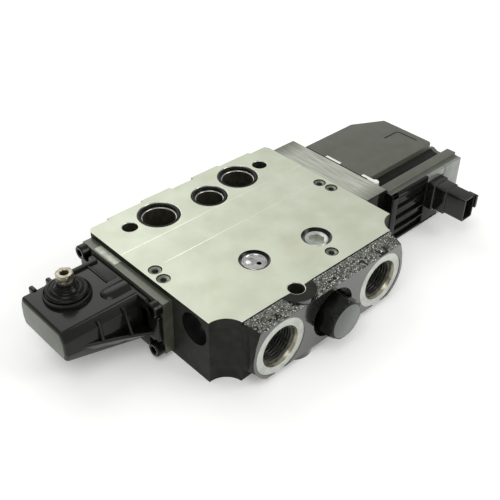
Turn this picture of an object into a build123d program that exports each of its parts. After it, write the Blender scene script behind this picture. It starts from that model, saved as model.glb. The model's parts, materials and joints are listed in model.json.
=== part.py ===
from build123d import *
import os
from math import hypot, radians, tan

# Sectional load-sensing directional valve, laid flat on its lower stacking face.
# Frame: origin under the spool axis at mid-body, on the lower stacking face.
# +X runs along the spool towards the electrical actuator, -Y towards the work ports, +Z up.

os.makedirs("parts", exist_ok=True)

# ---- driving dimensions (mm) ----
pitch = 48.0                                    # height of one section in a valve stack
mid = pitch / 2                                 # height of the spool axis
half_len = 81.2                                 # mid-body to an end face
front_y, port_y = -86.9, -99.1                  # front edge of the stacking face, work-port face
port_low, port_high = 4.5, 45.0                 # lower and upper edge of the work-port face
running = 0.05                                  # radial running clearance
clear = 0.3                                     # clearance between moving bodies
fit = 0.1                                       # gap between a fixed piece and its seat
wall = 3.0                                      # casting and moulding walls

tie_x, tie_y, tie_r = 58.8, 29.9, 5.5           # M10 tie rods, rear pair
front_tie_x, front_tie_y, lobe_r = -21.9, -86.5, 12.6
tank_x, tank_y, tank_r, tank_seal_r = 35.8, 28.6, 11.4, 14.85
pump_x, pump_y, pump_r, pump_seal_r = 4.4, 23.4, 9.5, 13.0
seal_depth = 2.2
port_x, port_r, port_depth = 45.85, 13.45, 22.0  # 1 1/16-12 UN work ports
spot_r, spot_depth, mouth_r, mouth_depth = 20.0, 0.4, 14.6, 2.5
boss_r, corner_x, corner_y, corner_r = 22.3, 80.2, -88.9, 14.0
shoulders = [(62.9, 46.3), (66.5, 36.0), (68.1, 24.0), (65.0, 13.0), (57.0, 4.5)]  # flank of the port block
shoulder_flare = 3.4                            # how much wider it is at the stacking face
rear_steps = [(64.2, 45.9, 47.9), (34.9, 47.9, 49.7), (9.9, 49.7, 47.4)]

spool_r, spool_end = 9.0, 84.0                  # spool bore, spool's left end
stroke, lever_swing = 6.6, 19.5                 # spool travel (mm) and lever travel (deg) each way
pivot_z = mid + stroke / tan(radians(lever_swing))
lever_x, lever_y = -123.0, 6.0                  # the lever stands behind the spool axis
comp_r, comp_seat = 11.0, -93.0
hex_across, hex_turn = 26.0, 22.0               # compensator plug

screw_y, screw_z, screw_r = 37.3, 16.2, 3.0     # M6 screws of the adapter plate, about the spool axis
block_rows = [(y, mid + z) for y in (-29.0, 32.2) for z in (-9.5, 9.5)]  # M6 screws of the actuator block
head_r, head_t = 5.0, 6.0
plate_half, plate_rise, plate_t = 41.6, 20.2, 7.0
plate_x = -half_len - plate_t                   # outer face of the adapter plate
flange_x = plate_x - 3.5                        # outer face of the housing flange
cover_x, cover_top = -145.6, 42.5               # outer end and top of the lever housing
block_x, block_y0, block_y1 = 103.8, -53.4, 38.8
block_low, block_high = 0.8, 47.2
spring_bore_r, spring_bore_x = 16.0, 101.8
shell_x0, shell_x1, hood_x1 = block_x + 0.7, 186.5, 182.5
shell_y0, step_y, ledge_y, hood_y0, hood_y1 = -60.4, -54.8, -46.7, -35.5, 26.0
shell_z0, step_z, ledge_z, groove_z, hood_z = 0.8, 44.0, 46.2, 40.5, 47.5
relief_z, relief_floor, relief_sink = 34.7, 30.0, 11.0
relief_rows = ((-1, "left", -61.8, 11.0), (1, "right", -63.0, 9.6))  # side, word, y, radius
shuttle_x, shuttle_y, check_x, check_y, recess_r = -21.8, -50.0, 25.2, -59.2, 10.3
set_places = [(74.0, -16.5), (75.4, -26.5), (-74.0, -16.5), (-75.4, -26.5), (20.6, -76.6)]
set_r, set_depth = 4.5, 10.0
coil_rows = [(-22.0, 21.0), (-43.5, 21.0)]      # solenoid axes, y and z
filter_place = coil_rows[1]
conn_x0, conn_x1, conn_z0, conn_z1 = 148.8, 161.6, 17.6, 37.2
conn_y1, root_y = -92.0, -76.0                  # mouth of the connector, end of its thick root
frame_gap = 3.2                                 # thickness of the insulating frame's tabs
chamber_r, stud_r = 12.0, 4.0                   # ring chambers of the spool bore, studs in the spool's ends
recess_depth, plug_bore_r = 2.4, 8.3            # recesses of the shuttle and the check valve
cover_screw = (20.5, 10.5)                      # screws of the lever housing about the spool axis
lug_rows = (-136.0, -124.3, -112.5)             # lugs along the rear edge of the lever housing
boot_r, web_low = 14.2, 15.0                     # radius of the boot, lower edge of the ribs
coil_x0, coil_x1, coil_outer_r, coil_inner_r = 117.0, 142.0, 8.6, 3.8
sensor_x0, sensor_x1, sensor_r, core_r = 114.0, 148.0, 7.0, 2.4
filter_x, filter_r = 98.0, 5.0                  # floor and radius of the pilot filter's bore
end_plug, end_plug_r = (88.4, 35.0), 4.2        # x, z and radius of the plug in the block's front

BASE = (Align.CENTER, Align.CENTER, Align.MIN)


def bar_x(x0, x1, y, z, radius, mode=Mode.ADD):
    """Round bar along X, joined to or cut from the part being built."""
    with Locations(Plane(origin=(x0, y, z), z_dir=(1, 0, 0))):
        Cylinder(radius, x1 - x0, align=BASE, mode=mode)


def bar_y(y0, y1, x, z, radius, mode=Mode.ADD):
    """Round bar along Y."""
    with Locations(Plane(origin=(x, y0, z), z_dir=(0, 1, 0))):
        Cylinder(radius, y1 - y0, align=BASE, mode=mode)


def bar_z(z0, z1, x, y, radius, mode=Mode.ADD):
    """Round bar along Z."""
    with Locations((x, y, z0)):
        Cylinder(radius, z1 - z0, align=BASE, mode=mode)


def block(low, high, mode=Mode.ADD):
    """Rectangular block between two opposite corners."""
    middle = tuple((a + b) / 2 for a, b in zip(low, high))
    with Locations(middle):
        Box(*(b - a for a, b in zip(low, high)), mode=mode)


def save(builder, name):
    """Label the finished piece and write it to its own file."""
    builder.part.label = name
    export_step(builder.part, f"parts/{name}.step")


def end_places(offset_y, offset_z):
    """Four places about the spool axis, as y and z."""
    return [(sy * offset_y, mid + sz * offset_z) for sy in (-1, 1) for sz in (-1, 1)]


# ---- valve body: one casting with galleries, ports and bores ----
right_edge = [(half_len, front_y), (half_len, 42.4), (79.2, 45.9)]
for step_x, outer_y, inner_y in rear_steps:
    right_edge += [(step_x, outer_y), (step_x, inner_y)]
outline = right_edge + [(-x, y) for x, y in reversed(right_edge)]
port_root = front_y + 12.0
passage_x, passage_y = 20.0, -6.0               # where a work port meets the spool bore
with BuildPart() as valve_body:
    with BuildSketch(Plane.XZ.offset(-port_y)):
        with Locations((0, mid)):
            SlotCenterToCenter(2 * port_x, 2 * boss_r)
    extrude(amount=port_y - port_root)
    for y, flare in ((port_y, 0), (front_y, shoulder_flare)):
        with BuildSketch(Plane.XZ.offset(-y)):
            with BuildLine():
                flank = [(x + flare, z) for x, z in shoulders]
                Polyline(*flank, *[(-x, z) for x, z in reversed(flank)], close=True)
            make_face()
    loft(ruled=True)
    with BuildSketch(Plane.YZ):
        with BuildLine():
            Polyline((port_root, 0), (front_y, 0), (port_y, port_low), (port_y, port_high),
                     (front_y, pitch), (port_root, pitch), close=True)
        make_face()
    extrude(amount=half_len, both=True, mode=Mode.INTERSECT)
    with BuildSketch():
        with BuildLine():
            Polyline(*outline, close=True)
        make_face()
        with Locations((front_tie_x, front_tie_y)):
            Circle(lobe_r)
    extrude(amount=pitch)
    for side in (-1, 1):
        bar_z(0, pitch, side * corner_x, corner_y, corner_r, Mode.SUBTRACT)
        bar_z(0, pitch, side * tie_x, tie_y, tie_r, Mode.SUBTRACT)
        bar_z(0, pitch, side * tank_x, tank_y, tank_r, Mode.SUBTRACT)
        bar_z(pitch - seal_depth, pitch, side * tank_x, tank_y, tank_seal_r, Mode.SUBTRACT)
        bar_y(0, tank_y, side * (tank_x + 2), mid, 6.0, Mode.SUBTRACT)
        bar_x(side * (tank_x + 2) - 4.5, side * (tank_x + 2) + 4.5, 0, mid, chamber_r, Mode.SUBTRACT)
        bar_x(side * passage_x - 4, side * passage_x + 4, 0, mid, chamber_r, Mode.SUBTRACT)
        bar_y(port_y, port_y + spot_depth, side * port_x, mid, spot_r, Mode.SUBTRACT)
        bar_y(port_y, port_y + port_depth, side * port_x, mid, port_r, Mode.SUBTRACT)
        with Locations(Plane(origin=(side * port_x, port_y + spot_depth, mid), z_dir=(0, 1, 0))):
            Cone(mouth_r, port_r, mouth_depth, align=BASE, mode=Mode.SUBTRACT)
        run = (side * (passage_x - port_x), passage_y - port_y - port_depth)
        with Locations(Plane(origin=(side * port_x, port_y + port_depth - 1, mid), z_dir=(*run, 0))):
            Cylinder(7.0, hypot(*run), align=BASE, mode=Mode.SUBTRACT)
    for side, _, y, radius in relief_rows:
        cavity = sorted((side * (half_len - relief_floor), side * half_len))
        bar_x(*cavity, y, relief_z, radius, Mode.SUBTRACT)
        drill = sorted((side * (half_len - relief_floor - 14), side * (half_len - relief_floor + 1)))
        bar_x(*drill, y, relief_z - 5, 3.0, Mode.SUBTRACT)
    for y, z in end_places(screw_y, screw_z):
        bar_x(-half_len, 15 - half_len, y, z, screw_r, Mode.SUBTRACT)
    for y, z in block_rows:
        bar_x(half_len - 15, half_len, y, z, screw_r, Mode.SUBTRACT)
    bar_z(0, pitch, front_tie_x, front_tie_y, tie_r, Mode.SUBTRACT)
    bar_z(0, pitch, pump_x, pump_y, pump_r, Mode.SUBTRACT)
    bar_z(pitch - seal_depth, pitch, pump_x, pump_y, pump_seal_r, Mode.SUBTRACT)
    bar_y(0, pump_y, 0, mid, 5.0, Mode.SUBTRACT)
    bar_x(-4, 4, 0, mid, chamber_r, Mode.SUBTRACT)
    bar_x(-half_len, half_len, 0, mid, spool_r, Mode.SUBTRACT)
    bar_y(port_y, comp_seat, 0, mid, 17.5, Mode.SUBTRACT)
    bar_y(comp_seat, comp_seat + 1.6, 0, mid, 14.6, Mode.SUBTRACT)
    bar_y(comp_seat, -80, 0, mid, 12.5, Mode.SUBTRACT)
    bar_y(-81, -24, 0, mid, comp_r, Mode.SUBTRACT)
    bar_y(-25, 0, 0, mid, 5.0, Mode.SUBTRACT)
    bar_z(pitch - recess_depth, pitch, shuttle_x, shuttle_y, recess_r, Mode.SUBTRACT)
    bar_z(pitch - 9, pitch, shuttle_x, shuttle_y, plug_bore_r, Mode.SUBTRACT)
    bar_z(pitch - 16, pitch, shuttle_x, shuttle_y, 3.5, Mode.SUBTRACT)
    bar_z(pitch - recess_depth, pitch, check_x, check_y, recess_r, Mode.SUBTRACT)
    bar_z(pitch - 14, pitch, check_x, check_y, plug_bore_r, Mode.SUBTRACT)
    for x, y in set_places:
        bar_z(pitch - set_depth, pitch, x, y, set_r, Mode.SUBTRACT)
save(valve_body, "valve_body")

# ---- seals on the stacking face ----
with BuildPart() as gallery_seals:
    for x, y, inner, outer in ((tank_x, tank_y, tank_r, tank_seal_r), (-tank_x, tank_y, tank_r, tank_seal_r),
                               (pump_x, pump_y, pump_r, pump_seal_r)):
        bar_z(pitch - seal_depth + fit, pitch - fit, x, y, outer - fit)
        bar_z(pitch - seal_depth, pitch, x, y, inner + 0.8, Mode.SUBTRACT)
save(gallery_seals, "gallery_seals")

# ---- screws and plugs of the stacking face ----
with BuildPart() as set_screws:
    for x, y in set_places:
        bar_z(pitch - set_depth + 0.2, pitch - 1.2, x, y, set_r - fit)
    with BuildSketch(Plane.XY.offset(pitch - 1.2)):
        with Locations(*set_places):
            RegularPolygon(2.3, 6)
    extrude(amount=-4, mode=Mode.SUBTRACT)
save(set_screws, "set_screws")

with BuildPart() as check_plug:
    bar_z(pitch - 13.5, pitch - 1.4, check_x, check_y, plug_bore_r - fit)
    with BuildSketch(Plane.XY.offset(pitch - 1.4)):
        with Locations((check_x, check_y)):
            RegularPolygon(4.6, 6)
    extrude(amount=-7, mode=Mode.SUBTRACT)
save(check_plug, "check_plug")

with BuildPart() as shuttle_disc:
    bar_z(pitch - 8.8, pitch - 1.6, shuttle_x, shuttle_y, plug_bore_r - fit)
    bar_z(pitch - 8.8, pitch - 1.6, shuttle_x + 1.2, shuttle_y - 3.0, 1.6, Mode.SUBTRACT)
save(shuttle_disc, "shuttle_disc")

ball_r = 3.0
with BuildPart() as shuttle_ball:
    with Locations((shuttle_x, shuttle_y, pitch - 16 + ball_r + running)):
        Sphere(ball_r)
save(shuttle_ball, "shuttle_ball")

# ---- relief cartridges in the end faces ----
for side, word, y, radius in relief_rows:
    outer_x = half_len - relief_sink
    with BuildPart() as cartridge:
        bar_x(*sorted((side * 52, side * outer_x)), y, relief_z, radius - fit)
        bar_x(*sorted((side * 52, side * 63)), y, relief_z, 4.0, Mode.SUBTRACT)
        outer_face = Plane(origin=(side * outer_x, y, relief_z), z_dir=(side, 0, 0))
        with BuildSketch(outer_face):
            RegularPolygon(4.6, 6)
        extrude(amount=-5, mode=Mode.SUBTRACT)
    save(cartridge, f"relief_cartridge_{word}")
    with BuildPart() as poppet:
        bar_x(*sorted((side * 51.4, side * 60)), y, relief_z, 4.0 - clear)
    save(poppet, f"relief_poppet_{word}")

# ---- pressure compensator behind the hexagon plug ----
plug_end = comp_seat - 17.8
with BuildPart() as compensator_plug:
    with BuildSketch(Plane.XZ.offset(-comp_seat)):
        with Locations((0, mid)):
            RegularPolygon(hex_across / 2, 6, major_radius=False, rotation=hex_turn)
    extrude(amount=comp_seat - plug_end)
    with Locations(Plane(origin=(0, comp_seat, mid), z_dir=(0, -1, 0))):
        Cone(hex_across / 2 + 9.0, hex_across / 2, comp_seat - plug_end, align=BASE, mode=Mode.INTERSECT)
    bar_y(comp_seat, -80.2, 0, mid, 12.4)
    bar_y(plug_end + 6, -80.2, 0, mid, 7.6, Mode.SUBTRACT)
save(compensator_plug, "compensator_plug")

with BuildPart() as plug_seal:
    bar_y(comp_seat + fit, comp_seat + 1.5, 0, mid, 14.5)
    bar_y(comp_seat, comp_seat + 2, 0, mid, 12.5, Mode.SUBTRACT)
save(plug_seal, "plug_seal")

with BuildPart() as compensator_spool:
    bar_y(-70, -30, 0, mid, comp_r - running)
    for y in (-60, -44):
        bar_y(y, y + 6, 0, mid, comp_r)
        bar_y(y, y + 6, 0, mid, comp_r + 1, Mode.SUBTRACT)
        bar_y(y - 0.5, y + 6.5, 0, mid, 8.6)
    bar_y(-70, -50, 0, mid, 7.6, Mode.SUBTRACT)
save(compensator_spool, "compensator_spool")

spring_y0, spring_y1 = plug_end + 7.2, -51.2
with BuildPart() as compensator_spring:
    with BuildLine() as comp_coil:
        Helix(pitch=5.5, height=spring_y1 - spring_y0, radius=6.1, center=(0, spring_y0, mid), direction=(0, 1, 0))
    with BuildSketch(Plane(origin=comp_coil.line @ 0, z_dir=comp_coil.line % 0)):
        Circle(0.9)
    sweep(is_frenet=True)
save(compensator_spring, "compensator_spring")

# ---- main spool and what moves with it ----
with BuildPart() as main_spool:
    bar_x(-spool_end, spool_end - 3, 0, mid, spool_r - running)
    for side in (-1, 1):
        for x0, x1 in ((6.5, 12.0), (26.5, 31.0)):
            bar_x(*sorted((side * x0, side * x1)), 0, mid, spool_r, Mode.SUBTRACT)
            bar_x(*sorted((side * (x0 - 1), side * (x1 + 1))), 0, mid, 5.5)
    bar_x(-spool_end, 12 - spool_end, 0, mid, stud_r + running, Mode.SUBTRACT)
    bar_x(spool_end - 15, spool_end - 3, 0, mid, stud_r + running, Mode.SUBTRACT)
save(main_spool, "main_spool")

link_low, link_high = mid - 3.1, mid + 3.3
with BuildPart() as spool_link:
    bar_x(-spool_end - 8, 11 - spool_end, 0, mid, stud_r)
    block((lever_x - 3.3, -3.0, link_low), (-spool_end - 4, 2.7, link_high))
    bar_y(2.7, 8.4, lever_x, mid, 2.0)
save(spool_link, "spool_link")

seat_x, anchor_x = half_len + clear + stroke + 0.2, 99.6
stem_end, core_end = anchor_x + 6.0, 136.0      # the stem stays out of the sensor coil at full travel
with BuildPart() as spring_stem:
    bar_x(spool_end - 14, seat_x + 2.2, 0, mid, stud_r)
    bar_x(spool_end - 3, seat_x, 0, mid, 6.0)
    bar_x(seat_x, stem_end, 0, mid, 3.4)
save(spring_stem, "spring_stem")

with BuildPart() as spring_seat:
    bar_x(seat_x, seat_x + 2.0, 0, mid, 13.0)
    bar_x(seat_x, seat_x + 2.0, 0, mid, stud_r + running, Mode.SUBTRACT)
save(spring_seat, "spring_seat")

with BuildPart() as spring_anchor:
    bar_x(anchor_x, spring_bore_x - fit, 0, mid, spring_bore_r - fit)
    bar_x(anchor_x, spring_bore_x, 0, mid, 5.0, Mode.SUBTRACT)
save(spring_anchor, "spring_anchor")

coil_r = 0.8
with BuildPart() as centring_spring:
    start_x = seat_x + 2.0 + coil_r + fit
    coil_len = anchor_x - coil_r - fit - start_x
    with BuildLine() as centre_coil:
        Helix(pitch=2.6, height=coil_len, radius=10.5, center=(start_x, 0, mid), direction=(1, 0, 0))
    with BuildSketch(Plane(origin=centre_coil.line @ 0, z_dir=centre_coil.line % 0)):
        Circle(coil_r)
    sweep(is_frenet=True)
save(centring_spring, "centring_spring")

with BuildPart() as sensor_core:
    bar_x(stem_end, core_end, 0, mid, core_r)
save(sensor_core, "sensor_core")

# ---- adapter plate between the body and the lever housing ----
with BuildPart() as adapter_plate:
    block((plate_x, -plate_half, mid - plate_rise), (-half_len, plate_half, mid + plate_rise))
    bar_x(plate_x, -half_len, 0, mid, 13.0, Mode.SUBTRACT)
    bar_x(-half_len - 1.5, -half_len, 0, mid, 17.0, Mode.SUBTRACT)
    for y, z in end_places(screw_y, screw_z):
        bar_x(plate_x, -half_len, y, z, screw_r + clear, Mode.SUBTRACT)
    for y, z in end_places(*cover_screw):
        bar_x(plate_x, -half_len, y, z, 2.3, Mode.SUBTRACT)
        bar_x(-half_len - 3, -half_len, y, z, 4.2, Mode.SUBTRACT)
save(adapter_plate, "adapter_plate")

with BuildPart() as plate_seal:
    bar_x(-half_len - 1.4, -half_len - fit, 0, mid, 15.5)
    bar_x(-half_len - 1.4, -half_len, 0, mid, 13.2, Mode.SUBTRACT)
save(plate_seal, "plate_seal")

with BuildPart() as plate_screws:
    for y, z in end_places(screw_y, screw_z):
        bar_x(plate_x, -half_len + 14, y, z, screw_r - running)
        bar_x(plate_x - head_t, plate_x, y, z, head_r)
        with BuildSketch(Plane(origin=(plate_x - head_t, y, z), z_dir=(-1, 0, 0))):
            RegularPolygon(2.9, 6)
        extrude(amount=-3, mode=Mode.SUBTRACT)
save(plate_screws, "plate_screws")

with BuildPart() as housing_screws:
    for y, z in end_places(*cover_screw):
        bar_x(plate_x - 8, -half_len - 0.4, y, z, 2.1)
        bar_x(-half_len - 2.9, -half_len - 0.4, y, z, 4.0)
save(housing_screws, "housing_screws")

label_z = mid + plate_rise
with BuildPart() as label_plate:
    block((plate_x + 1.0, 8.0, label_z), (-half_len - 0.8, 30.0, label_z + 0.2))
save(label_plate, "label_plate")

# ---- lever housing ----
end_profile = [(-20.5, cover_top), (22.0, cover_top), (24.6, 36.0), (24.8, 27.0), (22.6, 20.3),
               (-22.4, 20.3), (-24.6, 27.0), (-24.2, 36.0)]
root_profile = [(-20.5, cover_top), (22.0, cover_top), (24.8, 36.0), (25.2, 20.0), (22.6, 5.0),
                (-22.4, 5.0), (-25.2, 20.0), (-24.6, 36.0)]
collar_r, collar_top, opening_r = 12.6, 46.8, 9.8
floor_fall = (20.3 - 5.0) / (flange_x - cover_x)
floor_wall = 2.2
with BuildPart() as lever_housing:
    with BuildSketch(Plane.YZ.offset(cover_x)):
        with BuildLine():
            Polyline(*end_profile, close=True)
        make_face()
    with BuildSketch(Plane.YZ.offset(flange_x)):
        with BuildLine():
            Polyline(*root_profile, close=True)
        make_face()
    loft(ruled=True)
    block((flange_x, -41.0, 13.5), (plate_x, 41.0, 34.5))
    block((flange_x, -31.0, 4.5), (plate_x, 31.0, 41.5))
    bar_z(cover_top - 2, collar_top, lever_x, lever_y, collar_r)
    bar_x(-108.0, flange_x, -13.5, 37.0, 7.6)
    block((-118.0, 19.6, cover_top - 2), (flange_x, 22.6, cover_top + 1.8))
    for x in lug_rows:
        block((x - 1.6, 22.0, 38.0), (x + 1.6, 26.4, cover_top + 1.0))
    with BuildSketch(Plane.XY.offset(14.5)):
        with BuildLine():
            Polyline((-134.0, -22.0), (flange_x, -38.0), (flange_x, 0), (-134.0, 0), close=True)
        make_face()
    extrude(amount=2.6)
    for x, reach in ((-118.0, 28.0), (-101.0, 34.0)):
        with BuildSketch(Plane.YZ.offset(x)):
            with BuildLine():
                Polyline((-18, 41), (-24.5, 39), (-reach, web_low), (-18, web_low), close=True)
            make_face()
        extrude(amount=1.3, both=True)
    with BuildSketch(Plane.XZ):
        with BuildLine():
            back = cover_x + wall
            Polyline((back, 20.3 - wall * floor_fall + floor_wall), (back, cover_top - wall),
                     (plate_x, cover_top - wall), (plate_x, 5.0 + floor_wall + 2), (flange_x, 5.0 + floor_wall),
                     close=True)
        make_face()
    extrude(amount=17.4, both=True, mode=Mode.SUBTRACT)
    bar_z(cover_top - wall - 1, collar_top, lever_x, lever_y, opening_r, Mode.SUBTRACT)
    bar_y(lever_y - collar_r + 0.6, lever_y + collar_r - 0.6, lever_x, pivot_z, 2.5, Mode.SUBTRACT)
    for y, z in end_places(*cover_screw):
        bar_x(plate_x - 8.2, plate_x, y, z, 2.15, Mode.SUBTRACT)
save(lever_housing, "lever_housing")

with BuildPart() as lever_pivot_pin:
    bar_y(lever_y - collar_r + 0.7, lever_y + collar_r - 0.7, lever_x, pivot_z, 2.45)
save(lever_pivot_pin, "lever_pivot_pin")

stub_top, hex_base, nut_base = 59.2, 55.6, 52.6
with BuildPart() as lever_stub:
    bar_y(lever_y - 5, lever_y + 5, lever_x, pivot_z, 6.0)
    bar_z(pivot_z, hex_base, lever_x, lever_y, 3.8)
    with BuildSketch(Plane.XY.offset(hex_base)):
        with Locations((lever_x, lever_y)):
            RegularPolygon(4.9, 6, major_radius=False, rotation=18)
    extrude(amount=stub_top - hex_base)
    block((lever_x - 4.8, 3.4, pivot_z - 23.4), (lever_x + 4.8, 8.6, pivot_z))
    block((lever_x - 2.35, 3.4, pivot_z - 23.4), (lever_x + 2.35, 8.6, mid + 2.4), Mode.SUBTRACT)
    bar_y(lever_y - 5, lever_y + 5, lever_x, pivot_z, 2.5, Mode.SUBTRACT)
    bar_z(stub_top - 9, stub_top, lever_x, lever_y, 2.5, Mode.SUBTRACT)
save(lever_stub, "lever_stub")

with BuildPart() as lever_nut:
    with BuildSketch(Plane.XY.offset(nut_base)):
        with Locations((lever_x, lever_y)):
            RegularPolygon(5.4, 6, major_radius=False, rotation=40)
            Circle(3.85, mode=Mode.SUBTRACT)
    extrude(amount=hex_base - nut_base - running)
save(lever_nut, "lever_nut")

with BuildPart() as lever_boot:
    bar_z(cover_top + fit, collar_top + 1.4, lever_x, lever_y, boot_r)
    bar_z(cover_top, collar_top + fit, lever_x, lever_y, collar_r + fit, Mode.SUBTRACT)
    bar_z(cover_top, collar_top + 1.4, lever_x, lever_y, 8.6, Mode.SUBTRACT)
    block((lever_x - 20, lever_y + 13.2, cover_top), (lever_x + 20, lever_y + 20, pitch + 2), Mode.SUBTRACT)
save(lever_boot, "lever_boot")

# ---- actuator block with the centring spring ----
shell_screws = [(-46.0, 7.0, shell_x1), (-46.0, 35.0, shell_x1), (9.0, 8.0, hood_x1), (9.0, 35.0, hood_x1)]
with BuildPart() as actuator_block:
    block((half_len, block_y0, block_low), (block_x, block_y1, block_high))
    bar_x(half_len, spring_bore_x, 0, mid, spring_bore_r, Mode.SUBTRACT)
    bar_x(half_len, 82.7, 0, mid, 18.6, Mode.SUBTRACT)
    bar_x(half_len, block_x, 0, mid, 6.0, Mode.SUBTRACT)
    bar_x(half_len, filter_x, *filter_place, filter_r, Mode.SUBTRACT)
    for y, z in block_rows:
        bar_x(half_len, block_x, y, z, screw_r + clear, Mode.SUBTRACT)
    for y, z, _ in shell_screws:
        bar_x(block_x - 1.9, block_x, y, z, 2.1, Mode.SUBTRACT)
    bar_y(block_y0, block_y0 + 8, *end_plug, end_plug_r, Mode.SUBTRACT)
save(actuator_block, "actuator_block")

with BuildPart() as block_seal:
    bar_x(half_len + fit, half_len + 1.4, 0, mid, 18.5)
    bar_x(half_len, half_len + 1.4, 0, mid, spring_bore_r + fit, Mode.SUBTRACT)
save(block_seal, "block_seal")

with BuildPart() as block_screws:
    for y, z in block_rows:
        bar_x(half_len - 14, block_x, y, z, screw_r - running)
        bar_x(block_x, block_x + head_t, y, z, head_r)
        with BuildSketch(Plane(origin=(block_x + head_t, y, z), z_dir=(1, 0, 0))):
            RegularPolygon(2.9, 6)
        extrude(amount=-3, mode=Mode.SUBTRACT)
save(block_screws, "block_screws")

with BuildPart() as block_end_plug:
    bar_y(block_y0 + 0.8, block_y0 + 7.8, *end_plug, end_plug_r - fit)
    with BuildSketch(Plane(origin=(end_plug[0], block_y0 + 0.8, end_plug[1]), z_dir=(0, -1, 0))):
        RegularPolygon(2.3, 6)
    extrude(amount=-3, mode=Mode.SUBTRACT)
save(block_end_plug, "block_end_plug")

with BuildPart() as pilot_filter:
    bar_x(half_len + 1, filter_x - 1, *filter_place, filter_r - fit)
    bar_x(half_len + 1, filter_x - 3, *filter_place, filter_r - 1.6, Mode.SUBTRACT)
save(pilot_filter, "pilot_filter")

# ---- electronics housing of the actuator, a cap open towards the block ----
shell_profile = [(shell_y0, shell_z0), (shell_y0, step_z), (step_y, step_z), (step_y, ledge_z),
                 (ledge_y, ledge_z), (ledge_y, groove_z), (hood_y0, groove_z), (hood_y0, hood_z),
                 (hood_y1, hood_z), (hood_y1, shell_z0)]
hood_corner = (157.0, 12.6)                     # x and y where the rear corner is cut off
shell_plan = [(shell_x0, shell_y0), (shell_x1, shell_y0), (shell_x1, hood_y0 - 3), (hood_x1, hood_y0),
              (hood_x1, hood_corner[1]), (hood_corner[0], hood_y1), (shell_x0, hood_y1)]
room_y0, room_y1, room_x1 = shell_y0 + 3.6, hood_y1 - 2.6, hood_x1 - wall
tab_rows = [(-36.0, -29.0), (-8.0, 6.5)]         # where the frame shows through the hood
tab_x1, tab_z0, tab_z1 = shell_x0 + frame_gap, 36.0, hood_z - 0.5
rib_rows = [9.8, 19.4, 29.0, 38.6]
with BuildPart() as actuator_housing:
    with BuildSketch(Plane.YZ.offset(shell_x0)):
        with BuildLine():
            Polyline(*shell_profile, close=True)
        make_face()
    extrude(amount=shell_x1 - shell_x0)
    with BuildSketch():
        with BuildLine():
            Polyline(*shell_plan, close=True)
        make_face()
    extrude(amount=pitch, mode=Mode.INTERSECT)
    block((shell_x0, room_y0, shell_z0 + 2.6), (room_x1 - 22, room_y1, groove_z - wall), Mode.SUBTRACT)
    block((room_x1 - 22, room_y0, shell_z0 + 2.6), (room_x1, 8.0, groove_z - wall), Mode.SUBTRACT)
    block((shell_x0, hood_y0 + 2.6, groove_z - wall - 1), (154.0, room_y1, hood_z - 2.4), Mode.SUBTRACT)
    for y0, y1 in tab_rows:
        block((shell_x0, y0 - 0.2, tab_z0 - 0.2), (tab_x1 + 0.2, y1 + 0.2, pitch), Mode.SUBTRACT)
    for low, high in zip([shell_z0 + 1.6] + [z + 1.6 for z in rib_rows[:-1]], rib_rows):
        block((shell_x0 + 3, shell_y0, low), (conn_x0 - 4, shell_y0 + 2.2, high), Mode.SUBTRACT)
    block((conn_x0 + 2.2, shell_y0, conn_z0 + 2.4), (conn_x1 - 2.2, room_y0, conn_z1 - 2.4), Mode.SUBTRACT)
    for y, z in block_rows[:2]:
        bar_x(shell_x0, block_x + head_t + 1, y, z, head_r + 0.5, Mode.SUBTRACT)
    for y, z, x_end in shell_screws:
        bar_x(shell_x0, x_end, y, z, 2.3, Mode.SUBTRACT)
        bar_x(x_end - 3.4, x_end, y, z, 3.9, Mode.SUBTRACT)
save(actuator_housing, "actuator_housing")

with BuildPart() as housing_gasket:
    block((block_x, block_y0 + 0.5, block_low + 0.5), (shell_x0, hood_y1 - 0.5, block_high - 2))
    block((block_x, -30.0, 9.0), (shell_x0, room_y1 - 1.5, 39.0), Mode.SUBTRACT)
    for y, z in block_rows[:2]:
        bar_x(block_x, shell_x0, y, z, head_r + 0.5, Mode.SUBTRACT)
    for y, z, _ in shell_screws:
        bar_x(block_x, shell_x0, y, z, 2.3, Mode.SUBTRACT)
save(housing_gasket, "housing_gasket")

with BuildPart() as insulating_frame:
    block((shell_x0 + 0.2, hood_y0 + 4.5, 12.0), (tab_x1, room_y1 - 0.4, hood_z - 2.8))
    for y0, y1 in tab_rows:
        block((shell_x0 + 0.2, y0, tab_z0), (tab_x1, y1, tab_z1))
    block((shell_x0, hood_y0 + 4.0, 14.0), (tab_x1, 14.5, 38.5), Mode.SUBTRACT)
    for y, z in block_rows[:2]:
        bar_x(shell_x0, tab_x1, y, z, head_r + 0.4, Mode.SUBTRACT)
save(insulating_frame, "insulating_frame")

with BuildPart() as actuator_screws:
    for y, z, x_end in shell_screws:
        bar_x(block_x - 1.8, x_end - 3.4, y, z, 2.0)
        bar_x(x_end - 3.4, x_end - 0.4, y, z, 3.7)
        with BuildSketch(Plane(origin=(x_end - 0.4, y, z), z_dir=(1, 0, 0))):
            RegularPolygon(1.9, 6)
        extrude(amount=-2, mode=Mode.SUBTRACT)
save(actuator_screws, "actuator_screws")

# ---- inside the electronics housing ----
with BuildPart() as sensor_coil:
    bar_x(sensor_x0, sensor_x1, 0, mid, sensor_r)
    bar_x(sensor_x0, sensor_x1, 0, mid, core_r + clear, Mode.SUBTRACT)
save(sensor_coil, "sensor_coil")

with BuildPart() as solenoid_coils:
    for y, z in coil_rows:
        bar_x(coil_x0, coil_x1, y, z, coil_outer_r)
        bar_x(coil_x0, coil_x1, y, z, coil_inner_r, Mode.SUBTRACT)
save(solenoid_coils, "solenoid_coils")

for word, (y, z) in zip(("front", "rear"), coil_rows[::-1]):
    with BuildPart() as plunger:
        bar_x(114.5, 134.0, y, z, coil_inner_r - clear)
    save(plunger, f"solenoid_plunger_{word}")

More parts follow.
